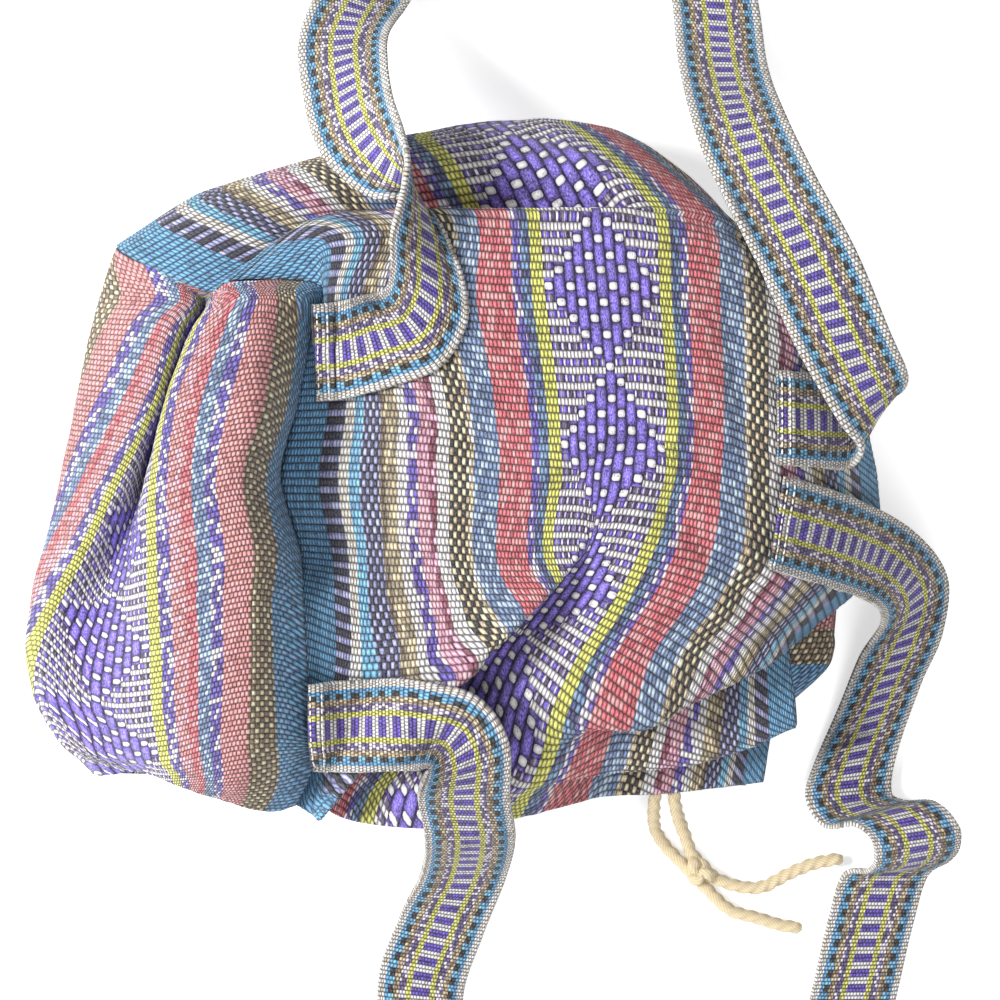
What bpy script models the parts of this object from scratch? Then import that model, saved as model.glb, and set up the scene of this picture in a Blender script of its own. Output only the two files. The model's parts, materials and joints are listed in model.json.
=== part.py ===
"""Woven shoulder bag with a drawstring mouth, lying on its back with both straps spread out.

One long striped cloth makes the front, the base and the back. A gusset of a narrower striped cloth
is sewn into each side, and each of the two flat woven straps is sewn on by both of its ends. Metres,
+Z up: the back panel lies flat at Z = 0, the base is towards +Y and the mouth towards -Y.
"""

import math

import bmesh
import bpy
import numpy as np

MM = 0.001

# Driving sizes, in metres
CLOTH_THICKNESS = 1.6 * MM
STRAP_WIDTH = 33.0 * MM
STRAP_THICKNESS = 1.8 * MM
CORD_DIAMETER = 5.2 * MM
KNOT_LENGTH = 13.0 * MM
KNOT_WIDTH = 10.0 * MM
KNOT_HEIGHT = 9.0 * MM
CLEARANCE = 0.3 * MM
SEAM_STEP = CLOTH_THICKNESS + CLEARANCE + 0.1 * MM

# How finely the curved cloth is cut, in faces for each span of its cage
SPLITS = 2
BASE_SPLITS = 3
STRAP_SPLITS = 3
STRAP_STRANDS = 3
FACE_FILL = 8

# Cage of the front, in millimetres: one row for each line across the cloth, from the fold at the base
# down to the mouth. Columns run from the left seam to the right seam. Columns 4 to 6 are the big
# diagonal pleat: its outer edge, its inner fold, and the lower layer coming out from under the edge.
# In the last five rows the right half is crushed lengthwise into two ruffles.
FRONT_CAGE = [
    [(-94, 79, 60), (-66, 99, 68), (-38, 102, 72), (-10, 102, 74), (16, 102, 75), (25, 102, 75),
     (33, 102, 75), (42, 102, 74), (52, 101, 73), (76, 97, 67), (97, 85, 55), (112, 72, 40), (122, 60, 26)],
    [(-64, 77, 62), (-60, 89, 69), (-36, 94, 73), (-8, 94, 76), (18, 94, 77), (26, 94, 77),
     (34, 94, 77), (43, 94, 77), (53, 93, 76), (78, 89, 71), (99, 79, 60), (115, 68, 45), (126, 57, 29)],
    [(-67, 62, 58), (-56, 69, 66), (-33, 71, 72), (-6, 71, 76), (20, 71, 78), (28, 71, 78),
     (36, 71, 78), (45, 71, 78), (54, 71, 77), (78, 69, 74), (101, 65, 67), (119, 58, 52), (132, 50, 33)],
    [(-71, 35, 52), (-50, 36, 62), (-25, 36, 71), (0, 36, 76), (24, 36, 78), (31, 36, 79),
     (39, 36, 79), (47, 36, 79), (56, 36, 79), (79, 35, 76), (101, 32, 70), (121, 27, 55), (137, 22, 34)],
    [(-72, 8, 52), (-50, 8, 62), (-24, 8, 70), (2, 8, 75), (25, 8, 78), (31, 8, 79),
     (37, 8, 79), (46, 8, 79), (55, 8, 79), (78, 7, 76), (102, 5, 69), (123, 1, 54), (141, -4, 32)],
    [(-70, -18, 52), (-47, -18, 61), (-21, -18, 69), (4, -18, 74), (26, -18, 77), (29, -18, 75),
     (32, -18, 75), (41, -18, 76), (52, -18, 76), (76, -19, 74), (100, -20, 67), (120, -22, 53), (138, -24, 34)],
    [(-68, -36, 50), (-49, -36, 58), (-28, -36, 66), (-7, -36, 72), (13, -36, 76), (3, -31, 67),
     (14, -37, 65), (27, -37, 71), (42, -37, 73), (67, -38, 71), (92, -38, 65), (112, -36, 54), (130, -35, 38)],
    [(-67, -54, 48), (-52, -54, 56), (-37, -54, 63), (-22, -54, 69), (-4, -54, 74), (-20, -44, 60),
     (-3, -55, 58), (13, -55, 67), (33, -56, 70), (58, -57, 67), (82, -54, 61), (102, -48, 54), (119, -43, 43)],
    [(-67, -72, 45), (-57, -72, 52), (-46, -72, 58), (-35, -72, 64), (-23, -72, 69), (-40, -59, 53),
     (-21, -73, 51), (-1, -74, 62), (22, -76, 66), (50, -82, 60), (71, -72, 57), (91, -62, 53), (109, -51, 47)],
    [(-67, -84, 42), (-60, -84, 48), (-52, -84, 53), (-45, -84, 58), (-36, -84, 63), (-52, -71, 46),
     (-34, -85, 44), (-9, -87, 57), (15, -91, 60), (47, -73, 49), (70, -61, 46), (89, -51, 43), (105, -43, 39)],
    [(-68, -94, 38), (-63, -94, 44), (-59, -94, 49), (-54, -94, 53), (-47, -94, 57), (-59, -83, 40),
     (-45, -96, 38), (-15, -98, 52), (11, -102, 53), (38, -100, 43), (62, -98, 40), (88, -92, 37), (110, -83, 35)],
    [(-71, -104, 34), (-68, -104, 39), (-65, -104, 43), (-62, -104, 47), (-57, -105, 50), (-64, -94, 32),
     (-54, -107, 30), (-20, -108, 46), (9, -108, 45), (42, -90, 32), (66, -88, 29), (88, -82, 27), (105, -75, 26)],
    [(-76, -114, 30), (-73, -115, 34), (-71, -116, 37), (-69, -116, 40), (-66, -117, 43), (-69, -107, 26),
     (-61, -119, 25), (-27, -121, 37), (8, -117, 34), (36, -112, 24), (61, -111, 21), (82, -109, 19), (100, -107, 17)],
]

# Cage of the base in the same columns: the valley just behind the front's fold, the top of the bulge
# beyond it, the outermost line and the line where the cloth turns under
BASE_CAGE = [
    [(-105, 75, 55), (-78, 92, 58), (-52, 97, 60), (-27, 98, 61), (3, 98, 62), (14, 98, 63),
     (25, 99, 64), (38, 101, 67), (51, 103, 71), (76, 101, 64), (97, 89, 52), (112, 75, 38), (121, 62, 25)],
    [(-122, 82, 51), (-98, 100, 58), (-70, 111, 61), (-42, 117, 62), (-10, 120, 63), (1, 120, 64),
     (12, 121, 64), (24, 121, 64), (38, 120, 64), (64, 115, 57), (85, 101, 46), (102, 84, 32), (114, 70, 21)],
    [(-138, 89, 45), (-111, 107, 47), (-80, 119, 48), (-52, 127, 48), (-20, 133, 47), (-11, 135, 47),
     (-1, 136, 47), (10, 137, 46), (22, 137, 45), (46, 133, 41), (67, 122, 34), (85, 106, 26), (100, 90, 17)],
    [(-134, 95, 20), (-107, 113, 20), (-78, 124, 20), (-50, 132, 20), (-22, 138, 20), (-13, 139, 20),
     (-4, 140, 20), (6, 140, 19), (18, 140, 19), (42, 136, 18), (64, 124, 16), (82, 108, 13), (96, 92, 10)],
]

# Corners of the back panel on the table: base left, base right, mouth right and mouth left
BACK_CORNERS = [(-122, 82), (86, 84), (70, -112), (-158, -106)]
BACK_BULGE = 34.0
BACK_ROWS = 4

# Cage of the left gusset inside its seams: one row for each front row below the first. Columns run
# from beside the front seam over the hump, down into the valley fold and round to the table.
LEFT_GUSSET_CAGE = [
    [(-74, 73, 70), (-90, 71, 74), (-102, 69, 66), (-107, 69, 54), (-113, 72, 58), (-141, 76, 38), (-138, 76, 13)],
    [(-75, 62, 70), (-88, 62, 78), (-107, 60, 69), (-112, 59, 54), (-119, 61, 62), (-146, 64, 36), (-142, 62, 12)],
    [(-79, 35, 70), (-88, 35, 83), (-116, 35, 68), (-121, 35, 47), (-126, 35, 60), (-158, 36, 30), (-150, 35, 9)],
    [(-79, 8, 71), (-89, 8, 85), (-122, 8, 69), (-130, 8, 43), (-138, 8, 53), (-164, 8, 28), (-156, 8, 8)],
    [(-78, -18, 71), (-89, -18, 86), (-123, -18, 70), (-139, -18, 39), (-152, -18, 46), (-171, -18, 26), (-163, -18, 8)],
    [(-77, -36, 70), (-90, -36, 86), (-122, -36, 71), (-144, -36, 38), (-163, -36, 41), (-176, -36, 24), (-168, -36, 8)],
    [(-76, -54, 68), (-90, -54, 85), (-121, -54, 71), (-147, -54, 39), (-170, -54, 36), (-179, -54, 19), (-170, -54, 7)],
    [(-76, -72, 66), (-91, -72, 83), (-121, -72, 69), (-149, -72, 42), (-169, -72, 33), (-177, -72, 18), (-169, -72, 7)],
    [(-76, -84, 62), (-92, -84, 80), (-120, -84, 66), (-146, -84, 40), (-165, -84, 31), (-172, -84, 17), (-166, -84, 7)],
    [(-77, -94, 58), (-93, -93, 76), (-119, -94, 62), (-143, -94, 37), (-160, -93, 28), (-167, -92, 16), (-163, -92, 7)],
    [(-80, -104, 52), (-95, -101, 69), (-118, -98, 57), (-138, -98, 34), (-153, -98, 26), (-161, -98, 15), (-160, -97, 7)],
    [(-85, -114, 44), (-99, -108, 57), (-118, -103, 50), (-134, -101, 32), (-148, -103, 25), (-155, -104, 15), (-157, -104, 7)],
]

# Where the columns of the left gusset meet the base's edge, counted in base rows from the front fold
LEFT_GUSSET_TOP = [0.0, 0.3, 0.7, 1.0, 1.4, 2.0, 3.0, 4.0, 5.0]

# Cross-section of the right gusset, which is tucked in under the front: distance inwards from a line
# through its outer folds, and height, column by column between the front seam and the back seam
RIGHT_GUSSET_FOLDS = [(30, 27), (66, 22), (40, 13), (3, 8), (24, 3)]
RIGHT_GUSSET_RISE = [0.5, 0.65, 0.75, 0.85, 0.85, 0.85, 0.85, 0.85, 0.75, 0.6, 0.5, 0.45, 0.4]
RIGHT_GUSSET_OUTER_X = [120, 125, 130, 134, 136, 136, 134, 133, 132, 131, 128, 122, 114]

# Stations of a strap: centre of the band and the direction of its width, in millimetres
UPPER_STRAP = [
    ((-66, 52, 60), (0, 1, 0)), ((-55, 53, 63), (-0.05, 1, 0)), ((-44, 56, 68), (-0.3, 0.95, 0)),
    ((-31, 60, 75), (-0.6, 0.8, 0)), ((-25, 71, 80), (-0.78, 0.58, 0.25)), ((-25, 83, 83), (-0.74, 0.45, 0.5)),
    ((-26, 94, 84), (-0.5, 0.3, 0.8)), ((-28, 103, 84), (-0.25, 0.2, 0.95)), ((-32, 110, 83), (0.07, 0.3, 0.95)),
    ((-38, 115, 82), (0.35, 0.5, 0.78)), ((-45, 123, 78), (0.64, 0.5, 0.56)), ((-51, 134, 71), (0.8, 0.5, 0.28)),
    ((-55, 150, 59), (0.87, 0.4, 0.1)), ((-56, 171, 42), (0.96, 0.25, 0)), ((-53, 194, 22), (1, 0, 0)),
    ((-46, 217, 7), (0.97, -0.25, 0)), ((-31, 242, 2), (0.8, -0.6, 0)), ((-7, 260, 2), (0.45, -0.9, 0)),
    ((22, 267, 2), (0, -1, 0)), ((55, 256, 2), (-0.5, -0.85, 0)), ((77, 228, 2), (-0.9, -0.4, 0)),
    ((83, 192, 6), (-1, 0.05, 0)), ((84, 162, 26), (-1, 0.02, 0)), ((88, 134, 52), (-1, -0.2, 0)),
    ((97, 108, 66), (-1, -0.35, 0)), ((109, 82, 74), (-0.95, -0.35, 0)), ((120, 56, 76), (-0.95, -0.25, 0.1)),
    ((131, 36, 72), (-0.8, -0.5, 0.35)), ((134, 29, 64), (-0.5, -0.7, 0.6)), ((126, 28, 60), (-0.1, -1, 0.1)),
    ((113, 28, 66), (0, -1, 0)), ((97, 29, 70), (0, -1, 0)),
]
LOWER_STRAP = [
    ((-68, -82, 48), (0, 1, 0)), ((-50, -81, 56), (0, 1, 0)), ((-32, -80, 64), (0, 1, 0)),
    ((-17, -82, 72), (0.5, 0.8, 0.3)), ((-12, -92, 70), (0.9, 0.4, 0.2)), ((-13, -108, 56), (1, 0, 0)),
    ((-11, -126, 38), (1, 0, 0)), ((-14, -144, 14), (1, 0, 0)), ((-23, -166, 3), (1, -0.2, 0)),
    ((-31, -192, 2), (1, -0.1, 0)), ((-26, -226, 2), (0.9, 0.4, 0)), ((4, -258, 2), (0.6, 0.8, 0)),
    ((50, -272, 2), (0, 1, 0)), ((98, -260, 2), (-0.6, 0.8, 0)), ((128, -230, 2), (-0.9, 0.4, 0)),
    ((137, -194, 3), (-1, 0, 0)), ((143, -168, 5), (-1, 0.1, 0)), ((147, -148, 12), (-1, 0.1, 0)),
    ((148, -137, 30), (-1, 0.2, 0)), ((141, -128, 30), (-1, 0.2, 0)), ((134, -116, 12), (-1, 0.2, 0)),
    ((138, -100, 4), (-1, -0.2, 0)), ((147, -76, 6), (-1, -0.3, 0)), ((154, -56, 12), (-1, -0.3, 0)),
    ((157, -38, 22), (-0.9, -0.6, 0.3)), ((146, -25, 38), (-0.5, -0.8, 0.3)), ((125, -16, 54), (-0.3, -1, 0)),
    ((97, -8, 70), (-0.15, -1, 0)),
]

# Routes of the drawstring outside its casing, in millimetres
STRAND_LEFT = [(59, -112.4, 21.2), (59, -120, 14), (60, -127, 7), (64, -134, 3.4), (70.4, -140.8, 3)]
STRAND_RIGHT = [(66, -112.2, 20.2), (68, -120, 13), (71, -128, 6), (74.4, -137, 3)]
KNOT_CENTRE = (77, -144, 4.6)
KNOT_TURN = math.radians(-45)
TAIL_UPPER = [(83.9, -146.8, 3), (93, -150, 3), (102, -150, 3), (112, -145, 3), (122, -141, 3), (133, -139, 3)]
TAIL_LOWER = [(80, -150.7, 3), (89, -159, 3), (99, -162, 3), (109, -165, 3), (117, -166, 3)]


def colour_material(name, colour, roughness):
    material = bpy.data.materials.new(name)
    material.use_nodes = True
    shader = material.node_tree.nodes["Principled BSDF"]
    shader.inputs["Base Color"].default_value = (*colour, 1.0)
    shader.inputs["Roughness"].default_value = roughness
    shader.inputs["Metallic"].default_value = 0.0
    return material


def spline_weights(count, positions):
    """Catmull-Rom weights that carry a line of control points to each position along it."""
    weights = np.zeros((len(positions), count))
    for row, position in enumerate(positions):
        start = min(int(position), count - 2)
        f = position - start
        basis = (
            (-f + 2 * f ** 2 - f ** 3) / 2,
            (2 - 5 * f ** 2 + 3 * f ** 3) / 2,
            (f + 4 * f ** 2 - 3 * f ** 3) / 2,
            (-f ** 2 + f ** 3) / 2,
        )
        for offset, weight in zip((-1, 0, 1, 2), basis):
            weights[row, min(max(start + offset, 0), count - 1)] += weight
    return weights


def smooth_sheet(cage, row_positions, column_positions):
    """Points of the smooth surface through a cage, at every pair of positions."""
    across = spline_weights(cage.shape[1], column_positions)
    along = spline_weights(cage.shape[0], row_positions)
    return np.einsum("ri,ijk,cj->rck", along, cage, across)


def even_positions(spans, splits):
    return np.linspace(0, spans, spans * splits + 1)


def grid_mesh(name, points):
    """Open mesh with one vertex for each point of a rows by columns table."""
    rows, columns = points.shape[:2]
    grid = bmesh.new()
    bmesh.ops.create_grid(grid, x_segments=columns - 1, y_segments=rows - 1, size=1.0)
    for vertex in grid.verts:
        column = round((vertex.co.x + 1) / 2 * (columns - 1))
        row = round((vertex.co.y + 1) / 2 * (rows - 1))
        vertex.co = points[row, column]
    mesh = bpy.data.meshes.new(name)
    grid.to_mesh(mesh)
    grid.free()
    return mesh


def add_shell(name, points, thickness, material, collection):
    """Cloth: an open sheet given its thickness on both sides of the drawn surface."""
    mesh = grid_mesh(name, points)
    mesh.materials.append(material)
    mesh.shade_smooth()
    shell = bpy.data.objects.new(name, mesh)
    collection.objects.link(shell)
    solidify = shell.modifiers.new("Cloth thickness", "SOLIDIFY")
    solidify.thickness = thickness
    solidify.offset = 0.0
    return shell


def main_cage():
    """Front, base and back in one table, from the mouth edge of the front to that of the back."""
    base_left, base_right, mouth_right, mouth_left = np.array(BACK_CORNERS, float)
    columns = len(FRONT_CAGE[0])
    rest_height = CLOTH_THICKNESS / 2 / MM
    back = []
    for row in range(BACK_ROWS + 1):
        share = row / BACK_ROWS
        left = base_left + (mouth_left - base_left) * share
        right = base_right + (mouth_right - base_right) * share
        line = []
        for column in range(columns):
            t = column / (columns - 1)
            x, y = left + (right - left) * t
            bulge = BACK_BULGE * (1 - share) ** 2 * math.sin(math.pi * t)
            line.append((x, y + bulge, rest_height))
        back.append(line)
    return np.array(FRONT_CAGE[::-1] + BASE_CAGE + back, float) * MM


def main_positions():
    front = even_positions(len(FRONT_CAGE) - 1, SPLITS)
    base = front[-1] + even_positions(len(BASE_CAGE) + 1, BASE_SPLITS)[1:]
    back = base[-1] + even_positions(BACK_ROWS, SPLITS)[1:]
    return np.concatenate([front, base, back])


def main_surface():
    cage = main_cage()
    points = smooth_sheet(cage, main_positions(), even_positions(cage.shape[1] - 1, SPLITS))
    points[:, :, 2] = np.maximum(points[:, :, 2], CLOTH_THICKNESS / 2)
    return points


def left_gusset_surface():
    """Left gusset, sewn along the left edge of the front, the base and the back."""
    cage = main_cage()
    front_rows = len(FRONT_CAGE)
    step_out = np.array((-SEAM_STEP, 0, 0))
    step_down = np.array((0, -SEAM_STEP, 0))
    inner_columns = len(LEFT_GUSSET_CAGE[0])
    base_spans = len(BASE_CAGE) + 1
    base_edge = front_rows - 1 + np.array(LEFT_GUSSET_TOP)
    top = smooth_sheet(cage, base_edge, np.array([0.0]))[:, 0] + step_down
    top[0] += step_out
    top[-1] += step_out
    back_edge = front_rows - 1 + base_spans + np.linspace(0, BACK_ROWS, front_rows)
    back_seam = smooth_sheet(cage, back_edge, np.array([0.0]))[:, 0] + step_out
    rows = [top]
    for index, inner in enumerate(LEFT_GUSSET_CAGE, start=1):
        front_seam = cage[front_rows - 1 - index, 0] + step_out
        if index == 1:
            front_seam += step_down
        rows.append(np.vstack([front_seam, np.array(inner, float) * MM, back_seam[index]]))
    table = np.array(rows)
    points = smooth_sheet(
        table, even_positions(front_rows - 1, SPLITS), even_positions(inner_columns + 1, SPLITS))
    points[:, :, 2] = np.maximum(points[:, :, 2], CLOTH_THICKNESS / 2)
    return points


def right_gusset_surface():
    """Right gusset, folded in like a bellows between the front and the back."""
    cage = main_cage()
    front_rows = len(FRONT_CAGE)
    last = cage.shape[1] - 1
    step_out = np.array((SEAM_STEP, 0, 0))
    step_under = np.array((0.5 * SEAM_STEP, 0, -1.3 * SEAM_STEP))
    back_start = front_rows - 1 + len(BASE_CAGE) + 1
    back_edge = back_start + np.linspace(0, BACK_ROWS, front_rows)
    back_seam = smooth_sheet(cage, back_edge, np.array([float(last)]))[:, 0] + step_out
    even_y = np.linspace(cage[front_rows - 1, last, 1], cage[0, last, 1], front_rows)
    rows = []
    for index in range(front_rows):
        front_seam = cage[front_rows - 1 - index, last] + step_under
        inner = []
        for column, (inward, height) in enumerate(RIGHT_GUSSET_FOLDS, start=1):
            share = column / (len(RIGHT_GUSSET_FOLDS) + 1)
            x = (RIGHT_GUSSET_OUTER_X[index] - inward) * MM
            y = even_y[index] + (back_seam[index][1] - even_y[index]) * share
            inner.append((x, y, height * RIGHT_GUSSET_RISE[index] * MM))
        rows.append(np.vstack([front_seam, inner, back_seam[index]]))
    table = np.array(rows)
    points = smooth_sheet(
        table, even_positions(front_rows - 1, SPLITS), even_positions(table.shape[1] - 1, SPLITS))
    points[:, :, 2] = np.maximum(points[:, :, 2], CLOTH_THICKNESS / 2)
    return points


def fill_faces(points):
    """The same faceted sheet with many more points on each of its faces."""
    rows, columns = points.shape[:2]
    row_marks = np.linspace(0, rows - 1, (rows - 1) * FACE_FILL + 1)
    column_marks = np.linspace(0, columns - 1, (columns - 1) * FACE_FILL + 1)
    flat = points.reshape(rows, -1)
    along = np.array([np.interp(row_marks, range(rows), line) for line in flat.T]).T
    along = along.reshape(len(row_marks), columns, 3).transpose(1, 0, 2)
    flat = along.reshape(columns, -1)
    both = np.array([np.interp(column_marks, range(columns), line) for line in flat.T]).T
    return both.reshape(len(column_marks), len(row_marks), 3)


class HeightMap:
    """Highest point of the cloth over each small square of the table, for laying straps on it."""

    CELL = 3.0 * MM
    REACH = 360.0 * MM

    def __init__(self):
        size = int(2 * self.REACH / self.CELL)
        self.heights = np.zeros((size, size))

    def cell(self, x, y):
        return int((x + self.REACH) / self.CELL), int((y + self.REACH) / self.CELL)

    def add(self, points):
        for x, y, z in fill_faces(points).reshape(-1, 3):
            i, j = self.cell(x, y)
            self.heights[i, j] = max(self.heights[i, j], z)

    def top(self, x, y):
        i, j = self.cell(x, y)
        return self.heights[i - 1:i + 2, j - 1:j + 2].max()


def band_surface(stations, ground):
    """A flat band along its stations, lifted wherever it would sink into what it lies on."""
    centres = np.array([centre for centre, _ in stations], float) * MM
    widths = np.array([width for _, width in stations], float)
    widths *= STRAP_WIDTH / 2 / np.linalg.norm(widths, axis=1, keepdims=True)
    table = np.stack([centres - widths, centres + widths], axis=1)
    lines = smooth_sheet(table, even_positions(len(stations) - 1, STRAP_SPLITS), np.array([0.0, 1.0]))
    shares = np.linspace(0, 1, STRAP_STRANDS + 1)[None, :, None]
    points = lines[:, :1] * (1 - shares) + lines[:, 1:] * shares
    rest = STRAP_THICKNESS / 2 + CLEARANCE
    for point in points.reshape(-1, 3):
        below = ground.top(point[0], point[1])
        point[2] = max(point[2], below + rest + CLOTH_THICKNESS / 2 if below > 0 else STRAP_THICKNESS / 2)
    return points


def add_cord(name, route, material, collection):
    """A round cord along a smooth line through its route."""
    control = np.array(route, float)[:, None, :] * MM
    spans = len(route) - 1
    points = smooth_sheet(control, even_positions(spans, SPLITS), np.array([0.0]))[:, 0]
    points[:, 2] = np.maximum(points[:, 2], CORD_DIAMETER / 2)
    curve = bpy.data.curves.new(name, "CURVE")
    curve.dimensions = "3D"
    curve.bevel_depth = CORD_DIAMETER / 2
    curve.bevel_resolution = 2
    curve.use_fill_caps = True
    spline = curve.splines.new("POLY")
    spline.points.add(len(points) - 1)
    for slot, (x, y, z) in zip(spline.points, points):
        slot.co = (x, y, z, 1.0)
    curve.materials.append(material)
    cord = bpy.data.objects.new(name, curve)
    collection.objects.link(cord)
    return cord


def add_knot(name, material, collection):
    """The overhand knot that ties the two strands together, as one rounded lump."""
    lump = bmesh.new()
    bmesh.ops.create_uvsphere(lump, u_segments=16, v_segments=10, radius=0.5)
    mesh = bpy.data.meshes.new(name)
    lump.to_mesh(mesh)
    lump.free()
    mesh.materials.append(material)
    mesh.shade_smooth()
    knot = bpy.data.objects.new(name, mesh)
    knot.location = np.array(KNOT_CENTRE) * MM
    knot.rotation_euler = (0.0, 0.0, KNOT_TURN)
    knot.scale = (KNOT_LENGTH, KNOT_WIDTH, KNOT_HEIGHT)
    collection.objects.link(knot)
    return knot


# The startup file's objects go first
for leftover in list(bpy.data.objects):
    bpy.data.objects.remove(leftover)

bag = bpy.data.collections.new("Woven drawstring shoulder bag")
bpy.context.scene.collection.children.link(bag)

body_cloth = colour_material("Striped body cloth", (0.45, 0.36, 0.55), 0.9)
gusset_cloth = colour_material("Striped gusset cloth", (0.42, 0.33, 0.60), 0.9)
strap_cloth = colour_material("Woven strap", (0.40, 0.45, 0.62), 0.85)
cord_cotton = colour_material("Cream cotton cord", (0.72, 0.60, 0.42), 0.9)

# Front, base and back, one cloth
front_and_back = main_surface()
add_shell("main_panel", front_and_back, CLOTH_THICKNESS, body_cloth, bag)

# Gussets, a seam's step away from the edges they are sewn to
left_side = left_gusset_surface()
add_shell("left_gusset", left_side, CLOTH_THICKNESS, gusset_cloth, bag)
right_side = right_gusset_surface()
add_shell("right_gusset", right_side, CLOTH_THICKNESS, gusset_cloth, bag)

# Straps, laid over the cloth
cloth_heights = HeightMap()
for sheet_points in (front_and_back, left_side, right_side):
    cloth_heights.add(sheet_points)
for strap_name, strap_stations in (("upper_strap", UPPER_STRAP), ("lower_strap", LOWER_STRAP)):
    band = band_surface(strap_stations, cloth_heights)
    add_shell(strap_name, band, STRAP_THICKNESS, strap_cloth, bag)

# Drawstring: two strands out of the casing, the knot and two tails
add_cord("drawstring_strand_left", STRAND_LEFT, cord_cotton, bag)
add_cord("drawstring_strand_right", STRAND_RIGHT, cord_cotton, bag)
add_knot("drawstring_knot", cord_cotton, bag)
add_cord("drawstring_tail_upper", TAIL_UPPER, cord_cotton, bag)
add_cord("drawstring_tail_lower", TAIL_LOWER, cord_cotton, bag)
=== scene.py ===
"""Looks of the woven drawstring shoulder bag, which lies on its back with its straps spread out.

One striped handloom cloth makes the front, the base and the back, a finer cloth makes the two
gussets, and two flat woven straps and a cream cord are added. Lengths are in metres, the tables in
millimetres. Each cloth keeps where it is on its loom: u across the stripes and v along them.
"""

import json
import math

import bmesh
import bpy
import numpy as np
from mathutils import Matrix, Vector, noise

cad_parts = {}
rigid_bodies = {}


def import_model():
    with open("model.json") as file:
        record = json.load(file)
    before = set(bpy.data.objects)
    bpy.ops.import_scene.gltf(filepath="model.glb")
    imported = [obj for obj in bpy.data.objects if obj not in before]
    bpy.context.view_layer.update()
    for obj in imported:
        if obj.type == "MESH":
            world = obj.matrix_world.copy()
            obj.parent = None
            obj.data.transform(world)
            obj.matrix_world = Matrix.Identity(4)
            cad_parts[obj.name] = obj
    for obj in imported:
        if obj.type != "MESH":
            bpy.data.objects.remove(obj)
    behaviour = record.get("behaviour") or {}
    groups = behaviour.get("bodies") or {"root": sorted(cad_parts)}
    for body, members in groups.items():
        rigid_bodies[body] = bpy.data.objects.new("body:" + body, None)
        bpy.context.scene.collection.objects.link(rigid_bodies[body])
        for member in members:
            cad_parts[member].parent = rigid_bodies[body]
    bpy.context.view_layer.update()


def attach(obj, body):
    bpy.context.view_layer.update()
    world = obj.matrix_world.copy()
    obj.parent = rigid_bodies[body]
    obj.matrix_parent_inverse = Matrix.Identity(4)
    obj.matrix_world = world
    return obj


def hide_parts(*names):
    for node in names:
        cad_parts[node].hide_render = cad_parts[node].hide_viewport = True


MM = 0.001

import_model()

# The startup file's own objects aren't needed
for leftover in list(bpy.data.objects):
    if leftover.name in {"Cube", "Light", "Camera"}:
        bpy.data.objects.remove(leftover)


# Drawstring
# A cream cotton cord of three plies twisted together, 5.2 mm thick. It runs in the casing at the mouth,
# and its two ends come out as strands, are tied together in an overhand knot and lie as two tails.

CORD_DIAMETER = 5.2 * MM
CORD_PLIES = 3
CORD_LAY = 15.0 * MM
KNOT_CENTRE = (77, -144, 4.6)
KNOT_TURN = math.radians(-45)
KNOT_REACH = (2.15, 1.55, 1.9)
KNOT_CORD = 4.6 * MM
KNOT_LAY = 13.0 * MM
STRAND_LEFT = [(59, -106, 17.4), (59, -113, 16.6), (59, -120, 12.5),
               (60, -127, 7), (64, -134, 3.4), (70.4, -140.8, 3)]
STRAND_RIGHT = [(66, -106, 16.4), (66.5, -113, 15.6), (68, -120, 11.5), (71, -128, 6), (74.4, -137, 3)]
THROUGH_KNOT_LEFT = [(75, -145.5, 3.4)]
THROUGH_KNOT_RIGHT = [(79, -142, 4.4)]
TAIL_UPPER = [(83.9, -146.8, 3), (93, -150, 3), (102, -150, 3),
              (112, -145, 3), (122, -141, 3), (133, -139, 3)]
TAIL_LOWER = [(80, -150.7, 3), (89, -159, 3), (99, -162, 3), (109, -165, 3), (117, -166, 3)]


def linear(red, green, blue):
    """Linear colour from the 0 to 255 values that a screen shows."""
    def channel(value):
        share = value / 255
        return share / 12.92 if share <= 0.04045 else ((share + 0.055) / 1.055) ** 2.4
    return (channel(red), channel(green), channel(blue), 1.0)


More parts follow.
